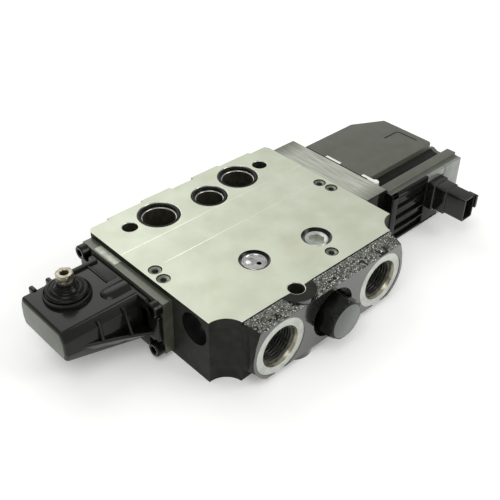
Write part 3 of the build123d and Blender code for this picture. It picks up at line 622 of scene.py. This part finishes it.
@dataclass
class ValveBody:
    """The casting: ground stacking faces, enamelled sides, rough skin above the port face."""

    front: float = -86.9
    port_face: float = -99.1
    port_top: float = 45.0
    scallop: Triple = (80.2, -88.9, 14.0)
    lobe: float = 12.6
    skin: float = 1.0
    flank: Pair = (65.9, 62.6)
    noises: Pairs = ((0.45, 4.5), (0.6, 2.1), (0.35, 1.1))
    spot_face: float = 20.4
    seat_radii: tuple[float, ...] = (14.85, 14.85, 13.0)
    seat_depth: float = 2.2
    line_rows: Triples = ((9.4, -81.0, 81.0), (-14.7, -66.0, 66.5))

    def __post_init__(self) -> None:
        """Read the casting's box and its holes from the frame."""
        self.low, self.high = box("valve_body")
        self.ports = [mount(f"work_port_{side}") for side in ("left", "right")]
        self.holes = [mount(name) for name in ("tie_rod_rear_left", "tie_rod_rear_right", "tie_rod_front",
                                               "tank_gallery_left", "tank_gallery_right", "pump_gallery")]

    def casting(self) -> None:
        """Copy the casting, weld it and give each face the finish of its surface."""
        points, faces = welded(frame["nodes"]["valve_body"].data)
        mesh = bpy.data.meshes.new("valve_casting")
        mesh.from_pydata(points.tolist(), [], faces.tolist())
        centres, normals = read(mesh.polygons, "center") / MM, read(mesh.polygons, "normal")
        for finish in (CAST_ENAMEL, GROUND_IRON, SPOT_FACE, LEAD_IN, BORE_IRON, SEAT_IRON, SHADE_PAINTED_ENAMEL):
            mesh.materials.append(finish.build())
        mesh.polygons.foreach_set("material_index", self.zones(centres, normals))
        enter(mesh, "root", ["valve_body"], 28)

    def zones(self, centres: Array, normals: Array) -> Array:
        """Zone of each face, from where its centre lies and which way it faces."""
        x, y, z = centres.T
        tilt = np.abs(normals[:, 2])
        top, level, upright = self.high[2], tilt > 0.9, tilt < 0.3
        zone = np.full(len(centres), Zone.ENAMEL, np.int32)
        zone[level & ((z > top - 0.1) | (z < 0.1))] = Zone.GROUND
        corner_x, corner_y, radius = self.scallop
        hollow = upright & (np.abs(np.hypot(np.abs(x) - corner_x, y - corner_y) - radius) < 0.6)
        # End faces and the hollow scallop get the darker enamel: painted shade.
        zone[~level & ((np.abs(x) > self.high[0] - 0.1) | hollow)] = Zone.SHADE_PAINTED_ENAMEL
        # The slope and the flanks by the port face get the same darker enamel: painted shade.
        slope = (y < self.front - 0.01) & (normals[:, 2] > 0.85)
        flank = (y < self.front + 0.1) & (np.abs(x) > 56.0) & (
            (np.abs(normals[:, 0]) > 0.2) | (y > self.port_face + 1.0))
        zone[slope | (flank & ~level)] = Zone.SHADE_PAINTED_ENAMEL
        for place_at, radius in self.holes:
            away = np.hypot(x - place_at[0], y - place_at[1])
            zone[upright & (away < radius + 0.3)] = Zone.BORE
            zone[(away < radius + 4.5) & (z > top - 2.6) & (z < top - 0.1)] = Zone.SEAT
        for place_at, radius in self.ports:
            away = np.hypot(x - place_at[0], z - place_at[2])
            before = y < -60
            zone[before & (away < self.spot_face) & (normals[:, 1] < -0.9)] = Zone.SPOT_FACE
            zone[before & (away < radius + 1.6) & (y > self.port_face + 0.5)] = Zone.LEAD_IN
        return zone

    def skin_band(self, name: str, edges: tuple[Callable, Callable], seed: int) -> None:
        """Rough cast skin over the slope between the ground face and the port face.

        Across the band the surface runs from the face's edge to the port face, along it between
        its two edges; its height over the slope is three sizes of smooth noise, and its rim dips.
        """
        across = np.linspace(0, 1, 26)
        y = self.front - 0.8 + (self.port_face + 0.9 - self.front) * across
        start, stop = edges[0](y), edges[1](y)
        steps = int(abs(stop.mean() - start.mean()) * 2.4)
        along = np.linspace(0, 1, steps)
        x = start[None, :] + (stop - start)[None, :] * along[:, None]
        deep = np.broadcast_to(y, x.shape)
        fall = (self.port_top - self.high[2]) / (self.port_face - self.front)
        slope = self.high[2] + fall * (deep - self.front)
        rough = sum(share * value_noise(x, deep, size, seed + number)
                    for number, (share, size) in enumerate(self.noises))
        edge = np.minimum(np.minimum(across, 1 - across) / 0.10, 1.0)[None, :]
        ends = np.minimum(np.minimum(along, 1 - along) / 0.02, 1.0)[:, None]
        lift = (0.25 + self.skin * rough * 0.75) * edge * ends
        upper = np.stack([x, deep, slope + np.minimum(lift, 0.55)], 2)
        lower = np.stack([x, deep, slope - 1.4], 2)[:, ::-1]
        piece(name, grid(np.concatenate([upper, lower], 1)), ROUGH_SKIN, sharp=70)

    def lobe_edge(self, side: int) -> Callable:
        """X of the tie rod lobe's edge at each y: the circle's half chord on one side of its centre."""
        tie = mount("tie_rod_front")[0]
        return lambda y: tie[0] + side * np.sqrt(np.maximum(self.lobe ** 2 - (y - tie[1]) ** 2, 0.0))

    def flank_edge(self, side: int) -> Callable:
        """X of the port block's straight flank at each y, drawn in towards the port face."""
        depth = self.front - self.port_face
        return lambda y: side * (self.flank[0] + (self.flank[1] - self.flank[0]) * (self.front - y) / depth)

    def skins(self) -> None:
        """The two stretches of rough skin, on either side of the front tie rod's lobe."""
        self.skin_band("rough_skin_left", (self.flank_edge(-1), self.lobe_edge(-1)), 11)
        self.skin_band("rough_skin_right", (self.lobe_edge(1), self.flank_edge(1)), 23)

    def lines(self) -> None:
        """Two fine witness lines along the ground face, a shallow trapezium in section."""
        top = self.high[2]
        shells = []
        for y, x0, x1 in self.line_rows:
            shape = Outline(((y - 0.35, top - 0.3), (y + 0.35, top - 0.3), (y + 0.22, top + 0.05),
                             (y - 0.22, top + 0.05)), 0.03, 2)
            shells.append(prism(shape, x0, x1, Along.X, 0.02))
        piece("grinding_lines", joined(shells), GRIND_LINE)

    def port_threads(self) -> None:
        """The work ports' helical threads, inside the plain bores of the casting."""
        for side, (place_at, radius) in zip(("left", "right"), self.ports):
            axis = Axis((place_at[0], self.port_face + 3.1, place_at[2]), (0, 1, 0))
            shell = thread(axis, radius, 1.15, 25.4 / 12, 18.0)
            piece(f"port_thread_{side}", shell, THREAD_IRON, sharp=60)

    def broken_edges(self) -> None:
        """Thin bright countersinks round the bores and counterbores of the ground face."""
        top = self.high[2]
        shells = [self.edge_ring(place_at, radius, top) for place_at, radius in self.holes[:3]]
        for (place_at, radius), outer in zip(self.holes[3:], self.seat_radii):
            shells += [self.edge_ring(place_at, outer, top),
                       self.edge_ring(place_at, radius, top - self.seat_depth)]
        piece("broken_edges", joined(shells), BROKEN_EDGE, sharp=60)

    @staticmethod
    def edge_ring(place_at: Array, radius: float, top: float) -> Shell:
        """One countersink as a ring: its cone falls 0.5 mm towards the hole."""
        profile = [(radius + 0.35, -0.6), (radius + 0.35, 0.02), (radius + 0.1, 0.02), (radius - 0.25, -0.5),
                   (radius - 0.25, -0.6)]
        return turned(upward(place_at[0], place_at[1], top), profile, 96, close=True)

    def seals(self) -> None:
        """Oval seal rings in the gallery counterbores."""
        shells = []
        for (place_at, radius), outer in zip(self.holes[3:], self.seat_radii):
            middle, half = (outer + radius + 0.6) / 2, (outer - radius - 0.8) / 2
            shells.append(torus(upward(place_at[0], place_at[1], self.high[2] - 1.15), middle, half, 1.0))
        piece("gallery_seal_rings", joined(shells), RUBBER, ["gallery_seals"])

    def build(self) -> None:
        """Build every piece of the casting."""
        self.casting()
        self.skins()
        self.lines()
        self.port_threads()
        self.broken_edges()
        self.seals()


@dataclass
class FacePlugs:
    """Screws and plugs sunk into the stacking face, and the plug between the work ports."""

    screw_places: Pairs = ((74.0, -16.5), (75.4, -26.5), (-74.0, -16.5), (-75.4, -26.5), (20.6, -76.6))
    hex_turn: float = 22.0
    hex_across: float = 26.0
    hex_root: float = -93.0
    sheer: float = 40.0

    def set_screws(self) -> None:
        """Socket set screws with a cup rim, one at each CAD screw."""
        top = box("valve_body")[1][2]
        profile = [(4.4, -8.0), (4.4, -1.0), (3.9, -0.6), (2.9, -0.7), (2.6, -1.1, 3.9), (2.6, -4.4, 3.9),
                   (0.05, -4.8)]
        shells = [turned(upward(x, y, top), profile, 48, turn=13 * x) for x, y in self.screw_places]
        piece("socket_set_screws", joined(shells), SEAT_IRON, ["set_screws"])

    def check_plug(self) -> None:
        """Plug with a large hexagon socket and a chamfered rim."""
        low, high = box("check_plug")
        middle = (low + high) / 2
        profile = [(8.2, -8.0), (8.2, -0.7), (7.6, 0.0), (6.7, 0.0), (6.0, -0.7, 10.0), (5.9, -4.0, 10.0),
                   (0.05, -4.6)]
        shell = turned(upward(middle[0], middle[1], high[2]), profile, 72, turn=8)
        piece("check_valve_plug", shell, SPOT_FACE, ["check_plug"])

    def disc_face(self) -> None:
        """Rim ring and raised, slightly offset centre on the shuttle's disc."""
        low, high = box("shuttle_disc")
        middle = (low + high) / 2
        ring = [(8.2, -0.4), (8.2, 0.3), (7.9, 0.5), (7.2, 0.5), (6.9, 0.2), (6.9, -0.4)]
        rim = turned(upward(middle[0], middle[1], high[2]), ring, 96, close=True)
        centre = turned(upward(middle[0] - 1.6, middle[1] + 1.2, high[2]),
                        [(3.6, -0.4), (3.6, 0.1), (3.3, 0.3), (0.05, 0.42)], 72)
        piece("shuttle_disc_face", joined([rim, centre]), STEEL)

    def port_plug(self) -> None:
        """Hexagon plug with a cone chamfer at its face and a washer face at its root.

        Rows with the sheer radius lie outside the hexagon, so that its corners stay sharp.
        """
        low, high = box("compensator_plug")
        axis = Axis((0.0, self.hex_root, (low[2] + high[2]) / 2), (0, -1, 0))
        length = self.hex_root - low[1] - 0.04
        across, sheer = self.hex_across, self.sheer
        profile = [(12.4, -12.6), (12.4, -0.2), (12.8, 0.0), (12.8, 0.8), (14.4, 1.1, across),
                   (sheer, 1.7, across), (sheer, length - 1.9, across), (13.9, length - 0.9, across),
                   (12.6, length - 0.12), (12.1, length), (0.05, length)]
        # The plug's extra-dark enamel is partly painted shade.
        piece("compensator_hex_plug", turned(axis, profile, 96, turn=self.hex_turn), PLUG_ENAMEL_AND_SHADOW,
              ["compensator_plug"], sharp=22)
        face = turned(axis, [(12.0, length - 0.5), (12.1, length - 0.02), (12.0, length + 0.04),
                             (0.05, length + 0.04)], 96)
        piece("compensator_plug_face", face, GREY_FACE_ENAMEL)

    def build(self) -> None:
        """Build the plugs."""
        self.set_screws()
        self.check_plug()
        self.disc_face()
        self.port_plug()


@dataclass
class LeverEnd:
    """Adapter plate screws, lever cover with its collar and ribs, rubber boot, stub and nut."""

    cover_end: float = -145.6
    flange: float = -91.7
    top: float = 42.5
    lever: Pair = (-123.0, 6.0)
    end_corners: Pairs = (
        (-22.4, 20.3), (22.6, 20.3), (24.8, 27.0), (24.6, 36.0), (22.0, 42.5), (-20.5, 42.5), (-24.2, 36.0),
        (-24.6, 27.0))
    root_corners: Pairs = (
        (-22.4, 5.0), (22.6, 5.0), (25.2, 20.0), (24.8, 36.0), (22.0, 42.5), (-20.5, 42.5), (-24.6, 36.0),
        (-25.2, 20.0))
    corner_radii: tuple[float, ...] = (3.5, 3.5, 4.0, 4.0, 1.8, 1.8, 4.0, 4.0)
    floors: Pair = (20.3, 5.0)
    lug_rows: tuple[float, ...] = (-136.0, -124.3, -112.5)
    web_rows: Triples = ((-121.5, -26.6, 26.0), (-104.0, -30.4, 21.8))
    skirt_rows: Triples = (
        (-134.5, -24.4, 28.5), (-127.0, -25.8, 27.0), (-111.5, -28.2, 23.2), (-101.5, -31.0, 21.2),
        (-91.7, -35.0, 19.6))

    def section(self, share: float) -> Outline:
        """Outline of the cover between its outer end, share 0, and its root, share 1."""
        corners = np.array(self.end_corners) * (1 - share) + np.array(self.root_corners) * share
        return Outline(tuple(map(tuple, corners)), self.corner_radii, 6)

    def cover(self) -> None:
        """The lofted cover: straight lines between the end outline and the root outline."""
        length = self.flange - self.cover_end
        rows = [(self.section(depth / length), inset, self.cover_end + 0.3 + depth)
                for inset, depth in rounding(2.2, 6)]
        rows += [(self.section(share), 0.0, self.cover_end + share * length)
                 for share in (0.2, 0.4, 0.6, 0.8, 1.0)]
        piece("lever_cover", loft(rows, Along.X), COVER_ENAMEL, ["lever_housing"])
        # A pale skin over the cover's end face: painted light.
        end = [(self.section(0.0), inset, self.cover_end + depth)
               for inset, depth in ((2.5, 0.0), (2.2, 0.08), (2.2, 0.6))]
        piece("lever_cover_end", loft(end, Along.X), LIGHT_PAINTED_ENAMEL)

    def flange_plate(self) -> None:
        """Flange of the cover against the adapter plate, a cross of two rounded plates."""
        plate = box("adapter_plate")[0][0]
        wide = cuboid((self.flange, -41.0, 13.5), (plate, 41.0, 34.5), Along.X, 3.0, 0.5)
        tall = cuboid((self.flange, -31.0, 4.5), (plate, 31.0, 41.5), Along.X, 3.0, 0.5)
        piece("lever_cover_flange", joined([wide, tall]), COVER_ENAMEL)

    def details(self) -> None:
        """Mound, ridge, rim, lugs, ribs and flared skirt that stand on the cover."""
        top = self.top
        reach = self.flange + 112.6
        dome = [(0.05, 0.0), (4.2, 0.7), (6.9, 2.4), (8.5, 4.6), (9.3, 7.2), (9.5, 9.8), (9.5, reach)]
        mound = turned(Axis((-112.6, -10.6, 35.3), (1, 0, 0)), dome, 96)
        ridge_shape = ((-100.6, top - 2), (-97.8, top - 2), (-98.4, top + 0.7), (-99.8, top + 0.9))
        ridge = prism(Outline(ridge_shape, 0.5, 4), -1.0, 21.6, Along.Y, 0.6)
        rim = cuboid((-118.0, 19.6, top - 2), (self.flange, 22.6, top + 1.8), Along.X, 0.8, 0.6)
        lugs = [cuboid((x - 1.6, 21.0, 38.0), (x + 1.6, 26.4, top + 1.0), Along.Y, 1.1, 0.7)
                for x in self.lug_rows]
        shells = [mound, ridge, rim, *lugs]
        for x, y, z in self.web_rows:
            web = Outline(((y, z), (-23.6, 39.0), (-18.0, 40.6), (-18.0, z - 2)), (0.6, 0.9, 1.2, 0.5), 4)
            shells.append(prism(web, x - 1.1, x + 1.1, Along.X, 0.6))
        skirt = []
        for x, y, z in self.skirt_rows:
            floor = np.interp(x, (self.cover_end, self.flange), self.floors)
            corners = ((-21.0, z - 1.0), (y, z + 0.8), (y - 0.3, z - 1.4), (-21.4, floor + 0.8))
            skirt.append((Outline(corners, (0.3, 0.8, 0.8, 0.6), 5), 0.0, x))
        shells.append(loft(skirt, Along.X))
        # A thin black slab on the cover's top between the ridge and the flange: a painted shadow, not a part.
        slope = cuboid((-98.0, -1.0, top - 2), (self.flange, 21.4, top + 0.12), Along.Y, 0.1, 0.1)
        piece("lever_cover_shadow_step", slope, PLUG_ENAMEL_AND_SHADOW)
        piece("lever_cover_ribs", joined(shells), COVER_ENAMEL)

    def collar(self) -> None:
        """Round seat under the boot, with a groove between its rim and the boot."""
        axis = upward(*self.lever, self.top)
        profile = [(15.0, -0.6), (14.8, 2.3), (14.5, 2.8), (14.0, 2.9), (13.6, 2.6), (13.2, 2.2), (12.2, 2.4),
                   (11.9, 3.6), (11.4, 4.0), (9.9, 4.0), (9.8, -0.6)]
        piece("boot_collar", turned(axis, profile, 96, close=True), COVER_ENAMEL)

    def boot(self) -> None:
        """Rubber boot: a beaded skirt, a dome with two soft rings and a ribbed neck on the stub."""
        axis = upward(*self.lever)
        outer = [(12.5, 45.1), (12.95, 45.3), (13.1, 45.9), (12.8, 46.7), (12.1, 47.2), (11.3, 47.3),
                 (10.8, 47.1), (10.3, 47.3), (9.7, 47.9), (9.0, 48.3), (8.4, 48.3), (8.0, 48.2), (7.6, 48.5),
                 (7.0, 49.2), (6.5, 49.8), (6.2, 50.1), (6.1, 50.5), (6.2, 50.9), (5.9, 51.3), (5.4, 51.5),
                 (5.4, 51.9), (5.6, 52.2), (5.4, 52.5), (5.0, 52.6)]
        inner = [(4.1, 52.6), (4.0, 51.8), (4.6, 50.4), (6.2, 48.3), (9.0, 46.95), (11.6, 46.7), (12.2, 46.2),
                 (12.3, 45.2)]
        fine = [np.interp(np.linspace(0, 1, 70), np.linspace(0, 1, len(outer)), run) for run in zip(*outer)]
        profile = list(zip(*fine)) + inner
        made = piece("rubber_boot", turned(axis, profile, 96, close=True), RUBBER,
                     ["lever_boot"], "", 50)
        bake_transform(made)

    def stub(self) -> None:
        """Hexagon lever stub with a threaded hole down it, and the nut under it."""
        low, high = box("lever_stub")
        axis = upward(*self.lever)
        top, base, pivot = high[2], high[2] - 3.6, low[2] + 23.4
        profile = [(3.8, pivot), (3.8, base - 0.2), (4.9, base), (5.4, base + 0.5, 9.8),
                   (5.75, base + 0.9, 9.8), (5.75, top - 0.7, 9.8), (5.2, top - 0.15, 9.8), (4.8, top),
                   (3.0, top), (2.5, top - 0.5), (2.5, top - 9.0), (0.05, top - 9.4)]
        x, y = self.lever
        hub = turned(Axis((x, y - 5.0, pivot), (0, 1, 0)), [(2.5, 0.0), (5.6, 0.0), (6.0, 0.4), (6.0, 9.6),
                                                            (5.6, 10.0), (2.5, 10.0)], 48, close=True)
        arms = [cuboid((x + low_x, 3.4, low[2]), (x + high_x, 8.6, pivot - 4.0), Along.Y, 0.5, 0.3)
                for low_x, high_x in ((-4.8, -2.35), (2.35, 4.8))]
        piece("lever_stub_hexagon", joined([turned(axis, profile, 72, turn=48), hub, *arms]), NICKEL,
              ["lever_stub"], "lever", 24)
        low_z, high_z = (corner[2] for corner in box("lever_nut"))
        profile = [(3.85, low_z), (5.0, low_z), (5.9, low_z + 0.5, 10.8), (6.2, low_z + 0.8, 10.8),
                   (6.2, high_z - 0.6, 10.8), (5.4, high_z - 0.1, 10.8), (5.0, high_z), (3.85, high_z)]
        piece("lever_lock_nut", turned(axis, profile, 72, turn=10, close=True), DULL_NICKEL,
              ["lever_nut"], "lever", 24)

    def screws(self) -> None:
        """Black socket head screws of the adapter plate."""
        plate = box("adapter_plate")[0][0]
        places = [(y, 24.0 + z) for y in (-37.3, 37.3) for z in (-16.2, 16.2)]
        shells = [cap_screw(Axis((plate, y, z), (-1, 0, 0)), 5.0, 6.0, 5.0) for y, z in places]
        piece("plate_cap_screws", joined(shells), BLACK_OXIDE, ["plate_screws"])

    def build(self) -> None:
        """Build the lever end."""
        self.cover()
        self.flange_plate()
        self.details()
        self.collar()
        self.boot()
        self.stub()
        self.screws()


@dataclass
class ActuatorEnd:
    """Aluminium block screws, moulded electronics housing with ribs, and its plug connector."""

    root_x: float = 104.5
    hood_end: float = 182.5
    bar_end: float = 186.5
    face_y: float = -60.4
    recess: float = 2.2
    rib_x: Pair = (111.0, 144.8)
    rib_rows: tuple[float, ...] = (9.8, 19.4, 29.0, 38.6)
    hood_top: float = 47.5
    low: float = 0.8
    bar_top: float = 44.0
    split: float = 166.0
    plug: tuple[float, float, float, float] = (148.8, 17.6, 161.6, 37.2)
    mouth: float = -92.0
    wall: float = 1.5

    def hood(self) -> None:
        """The hood over the electronics: plan outline with two notches, rounded all round the top."""
        x0, x1 = self.root_x, self.hood_end
        notch = x0 + 3.3
        plan = Outline(((notch, -35.5), (x1, -35.5), (x1, 12.6), (157.0, 26.0), (x0, 26.0), (x0, 6.7),
                        (notch, 6.7), (notch, -8.2), (x0, -8.2), (x0, -28.8), (notch, -28.8)),
                       (0.6, 4.0, 1.6, 1.6, 0.5, 0.4, 0.3, 0.3, 0.4, 0.4, 0.3), 6)
        piece("electronics_hood", prism(plan, self.low, self.hood_top, Along.Z, 0.35), NYLON,
              ["actuator_housing"])
        score = Outline(((160.0, -6.6), (175.6, -6.6), (175.6, -25.0), (176.8, -25.0), (176.8, -5.4),
                         (160.0, -5.4)), (0.1, 2.4, 0.1, 0.1, 3.6, 0.1), 6)
        piece("hood_score_line", prism(score, self.hood_top - 0.5, self.hood_top + 0.05, Along.Z, 0.02),
              BLACK_NYLON_AND_SHADE)
        # Black filler in the groove between the hood and the bar, and a black strip at the hood's root:
        # painted shadow.
        groove = Outline(((-43.4, 38.0), (-35.2, 38.0), (-35.2, 43.6), (-37.6, 41.8), (-43.4, 41.0)),
                         (0.2, 0.2, 0.5, 3.0, 0.3), 5)
        root_shadow = cuboid((x0 - 0.5, -35.2, 44.0), (x0 + 0.25, 25.8, self.hood_top - 0.12), Along.Y, 0.05, 0.05)
        piece("hood_shadow_groove", joined([prism(groove, x0 + 3.4, x1 - 1.0, Along.X, 0.3), root_shadow]),
              BLACK_NYLON_AND_SHADE)
        near = cuboid((x0 + 0.1, -41.0, 38.0), (notch - 0.1, -29.0, self.hood_top - 0.2), Along.Z, 0.5, 0.4)
        knob = turned(upward(x0 + 2.7, -41.0, 38.0), [(2.5, 0.0), (2.5, 8.4), (1.7, 9.3), (0.05, 9.5)], 48)
        piece("insulator_end_tab", joined([near, knob]), WHITE_NYLON)

    def bar(self) -> None:
        """The stepped bar along the front of the hood: its section is carried along X."""
        back = self.face_y + self.recess
        section = Outline(((back, self.low), (-33.0, self.low), (-33.0, 42.2), (-35.6, 42.2), (-38.6, 40.5),
                           (-46.7, 40.5), (-46.7, 46.2), (-54.8, 46.2), (-54.8, self.bar_top),
                           (back, self.bar_top)), (0.8, 0.5, 0.3, 2.0, 4.0, 0.5, 0.9, 0.9, 0.4, 0.6), 6)
        piece("housing_front_bar", prism(section, self.root_x, self.bar_end, Along.X, 0.7), NYLON)

    def ribs(self) -> None:
        """Frame and cooling ribs on the front face, polished, with rounded edges."""
        y0, y1 = self.face_y, self.face_y + self.recess + 0.6
        x0, x1 = self.rib_x
        root, low, top, split = self.root_x, self.low, self.bar_top, self.split
        strips = ((root, low, x0, top), (x1, low, split, 38.8), (root, 40.2, x1 + 1.0, top),
                  (root, low, split, 3.2))
        shells = [cuboid((a, y0, c), (b, y1, d), Along.Y, 0.8, 0.6) for a, c, b, d in strips]
        shells.append(cuboid((x0 - 1, y1 - 1.0, 2.0), (x1 + 1, y1, 41.0), Along.Y, 0.2, 0.1))
        shells += [cuboid((x0 - 1, y0 - 0.1, z - 0.1), (x1 + 1, y1, z + 1.7), Along.Y, 0.75, 0.7)
                   for z in self.rib_rows]
        # A pale sheet over the housing's end and a band along the top of the front face: painted light.
        panel = cuboid((split - 1.0, y0 + 0.1, low), (self.bar_end, y1, top), Along.Y, 0.8, 0.6)
        band = cuboid((x1 + 0.4, y0 + 0.1, 38.2), (split + 1.0, y1, top), Along.Y, 0.8, 0.6)
        piece("housing_end_painted_light", joined([panel, band]), LIGHT_PAINTED_NYLON)
        # A thin black skin over the aluminium block's front face and the housing's root: painted shade, not a
        # part.
        block_low, block_high = box("actuator_block")
        cover = cuboid((block_low[0] + 0.3, block_low[1] - 0.5, 1.0),
                       (block_high[0] + 0.5, block_low[1] + 0.3, 46.9), Along.Y, 0.6, 0.3)
        side = cuboid((root - 0.4, y0 + 0.4, 0.9), (root + 0.6, block_low[1], top), Along.X, 0.6, 0.3)
        piece("block_front_painted_shade", joined([cover, side]), BLACK_NYLON_AND_SHADE)
        piece("housing_ribs", joined(shells), BLACK_NYLON_AND_SHADE)

    def connector(self) -> None:
        """Rectangular plug shell with a hollow mouth, on a stepped root, with a keyed lug."""
        x0, z0, x1, z1 = self.plug
        root, mouth, wall = self.face_y + 1.0, self.mouth, self.wall
        shape = rectangle(*self.plug, 1.8, 6)
        lip = [(0.0, mouth + 0.5), (0.15, mouth + 0.15), (0.5, mouth), (1.1, mouth), (1.4, mouth + 0.2),
               (wall, mouth + 0.5), (wall, -66.0)]
        tube = loft([(shape, 0.0, root), *[(shape, inset, y) for inset, y in lip]], Along.Y)
        step = prism(rectangle(x0 - 1.2, z0 - 1.2, x1 + 1.2, z1 + 0.6, 2.4, 6), -76.0, root, Along.Y, 0.8)
        collar = prism(rectangle(x0 - 2.6, z0 - 2.4, x1 + 2.6, z1 + 1.6, 3.0, 6), -66.5, root, Along.Y, 1.0)
        lug = cuboid((x1 - 1.2, mouth - 1.8, 26.0), (x1 + 1.2, mouth + 6.0, z1 - 0.6), Along.Y, 0.7, 0.5)
        piece("connector_plug_shell", joined([tube, collar, lug]), GLOSS_NYLON,
              ["connector_shell"])
        piece("connector_root", step, GLOSS_NYLON)

    def screws(self) -> None:
        """Zinc screws of the aluminium block."""
        block = box("actuator_block")[1][0]
        places = [(y, 24.0 + z) for y in (-29.0, 32.2) for z in (-9.5, 9.5)]
        shells = [cap_screw(Axis((block, y, z), (1, 0, 0)), 5.0, 6.0, 5.0) for y, z in places]
        piece("block_cap_screws", joined(shells), ZINC, ["block_screws"])

    def build(self) -> None:
        """Build the actuator end."""
        self.hood()
        self.bar()
        self.ribs()
        self.connector()
        self.screws()


# ---- finishes of the CAD nodes that stay ----
DRESS: dict[Finish, tuple[str, ...]] = {
    CAST_ENAMEL: ("valve_body", "relief_cartridge_left", "relief_cartridge_right"),
    SMOOTH_ENAMEL: ("lever_housing", "compensator_plug"),
    PLATE_ENAMEL: ("adapter_plate",),
    LABEL: ("label_plate",),
    # The aluminium block's finish darkens towards its ends: painted shade.
    MILLED_ALUMINIUM: ("actuator_block",),
    SEAT_IRON: ("set_screws", "check_plug"),
    NICKEL: ("lever_stub", "lever_nut"),
    BLACK_OXIDE: ("housing_screws", "plate_screws", "block_end_plug"),
    ZINC: ("block_screws", "actuator_screws"),
    BRASS: ("pilot_filter", "connector_pins"),
    STEEL: ("lever_pivot_pin", "shuttle_disc", "shuttle_ball", "relief_poppet_left", "relief_poppet_right",
            "compensator_spool", "main_spool", "spool_link", "spring_stem", "sensor_core",
            "solenoid_plunger_front", "solenoid_plunger_rear"),
    SPRING_STEEL: ("compensator_spring", "spring_seat", "spring_anchor", "centring_spring"),
    RUBBER: ("plate_seal", "lever_boot", "gallery_seals", "plug_seal", "block_seal", "housing_gasket"),
    NYLON: ("actuator_housing",),
    GLOSS_NYLON: ("connector_shell",),
    WHITE_NYLON: ("insulating_frame",),
    RESIN: ("sensor_coil", "solenoid_coils"),
    SOLDER_RESIST: ("circuit_board",),
}


def dress_frame() -> None:
    """Give every CAD node the procedural finish of its real material."""
    worn = {name: finish for finish, names in DRESS.items() for name in names}
    for name, node in frame["nodes"].items():
        node.data.materials.clear()
        node.data.materials.append(worn[name].build())
        log.info("%s wears %s", name, worn[name].name)


# ---- studio ----
@dataclass
class Studio:
    """Camera, pale floor and soft light."""

    eye: Triple = (-294.0, -328.5, 355.7)
    towards: Triple = (0.54946, 0.57063, -0.61031)
    upright: Triple = (0.40763, 0.45454, 0.79198)
    view_angle: float = 34.95
    world: float = 0.62
    floor_size: float = 6000.0
    floor_gap: float = 0.2
    lamps: tuple[tuple[Triple, float, float], ...] = (
        ((-500.0, -300.0, 1000.0), 600.0, 2.6), ((500.0, -800.0, 700.0), 500.0, 3.2),
        ((200.0, 900.0, 900.0), 900.0, 3.6))

    def camera(self) -> None:
        """A level-free camera: its matrix is built from its view and upright directions."""
        back = -np.array(self.towards)
        up = np.array(self.upright)
        right = np.cross(up, back)
        data = bpy.data.cameras.new("studio_camera")
        data.sensor_width = 36.0
        data.lens = data.sensor_width / 2 / math.tan(math.radians(self.view_angle) / 2)
        data.clip_start = 0.01
        made = show("studio_camera", data)
        turn = Matrix(np.stack([right, up, back], 1).tolist())
        made.matrix_world = Matrix.Translation(Vector(self.eye) * MM) @ turn.to_4x4()
        bpy.context.scene.camera = made

    def floor(self) -> None:
        """Plain pale floor, a hair under the part."""
        half, drop = self.floor_size / 2 * MM, -self.floor_gap * MM
        mesh = bpy.data.meshes.new("studio_floor")
        corners = [(x * half, y * half, drop) for x, y in ((-1, -1), (1, -1), (1, 1), (-1, 1))]
        mesh.from_pydata(corners, [], [(0, 1, 2, 3)])
        mesh.materials.append(FLOOR.build())
        show("studio_floor", mesh)

    def light(self) -> None:
        """A white surround and broad square lamps aimed at the part."""
        surround = bpy.data.worlds.new("studio_surround")
        surround.use_nodes = True
        shade = surround.node_tree.nodes["Background"]
        shade.inputs["Color"].default_value = linear("fdfdfb")
        shade.inputs["Strength"].default_value = self.world
        bpy.context.scene.world = surround
        for number, (place_at, size, power) in enumerate(self.lamps):
            data = bpy.data.lights.new(f"softbox_{number}", "AREA")
            data.shape = "SQUARE"
            data.size = size * MM
            data.energy = power
            made = show(f"softbox_{number}", data)
            made.location = Vector(place_at) * MM
            made.rotation_euler = (-Vector(place_at)).to_track_quat("-Z", "Y").to_euler()

    def build(self) -> None:
        """Set up the studio."""
        bpy.context.scene.view_settings.view_transform = "Standard"
        self.camera()
        self.floor()
        self.light()


def main() -> None:
    """Build the studio, dress the CAD nodes and build each sub-assembly."""
    logging.basicConfig(level=logging.INFO, format="%(name)s %(message)s")
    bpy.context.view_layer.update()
    Studio().build()
    dress_frame()
    for sub_assembly in (ValveBody(), FacePlugs(), LeverEnd(), ActuatorEnd()):
        sub_assembly.build()
        log.info("built %s", type(sub_assembly).__name__)


if __name__ == "__main__":
    main()
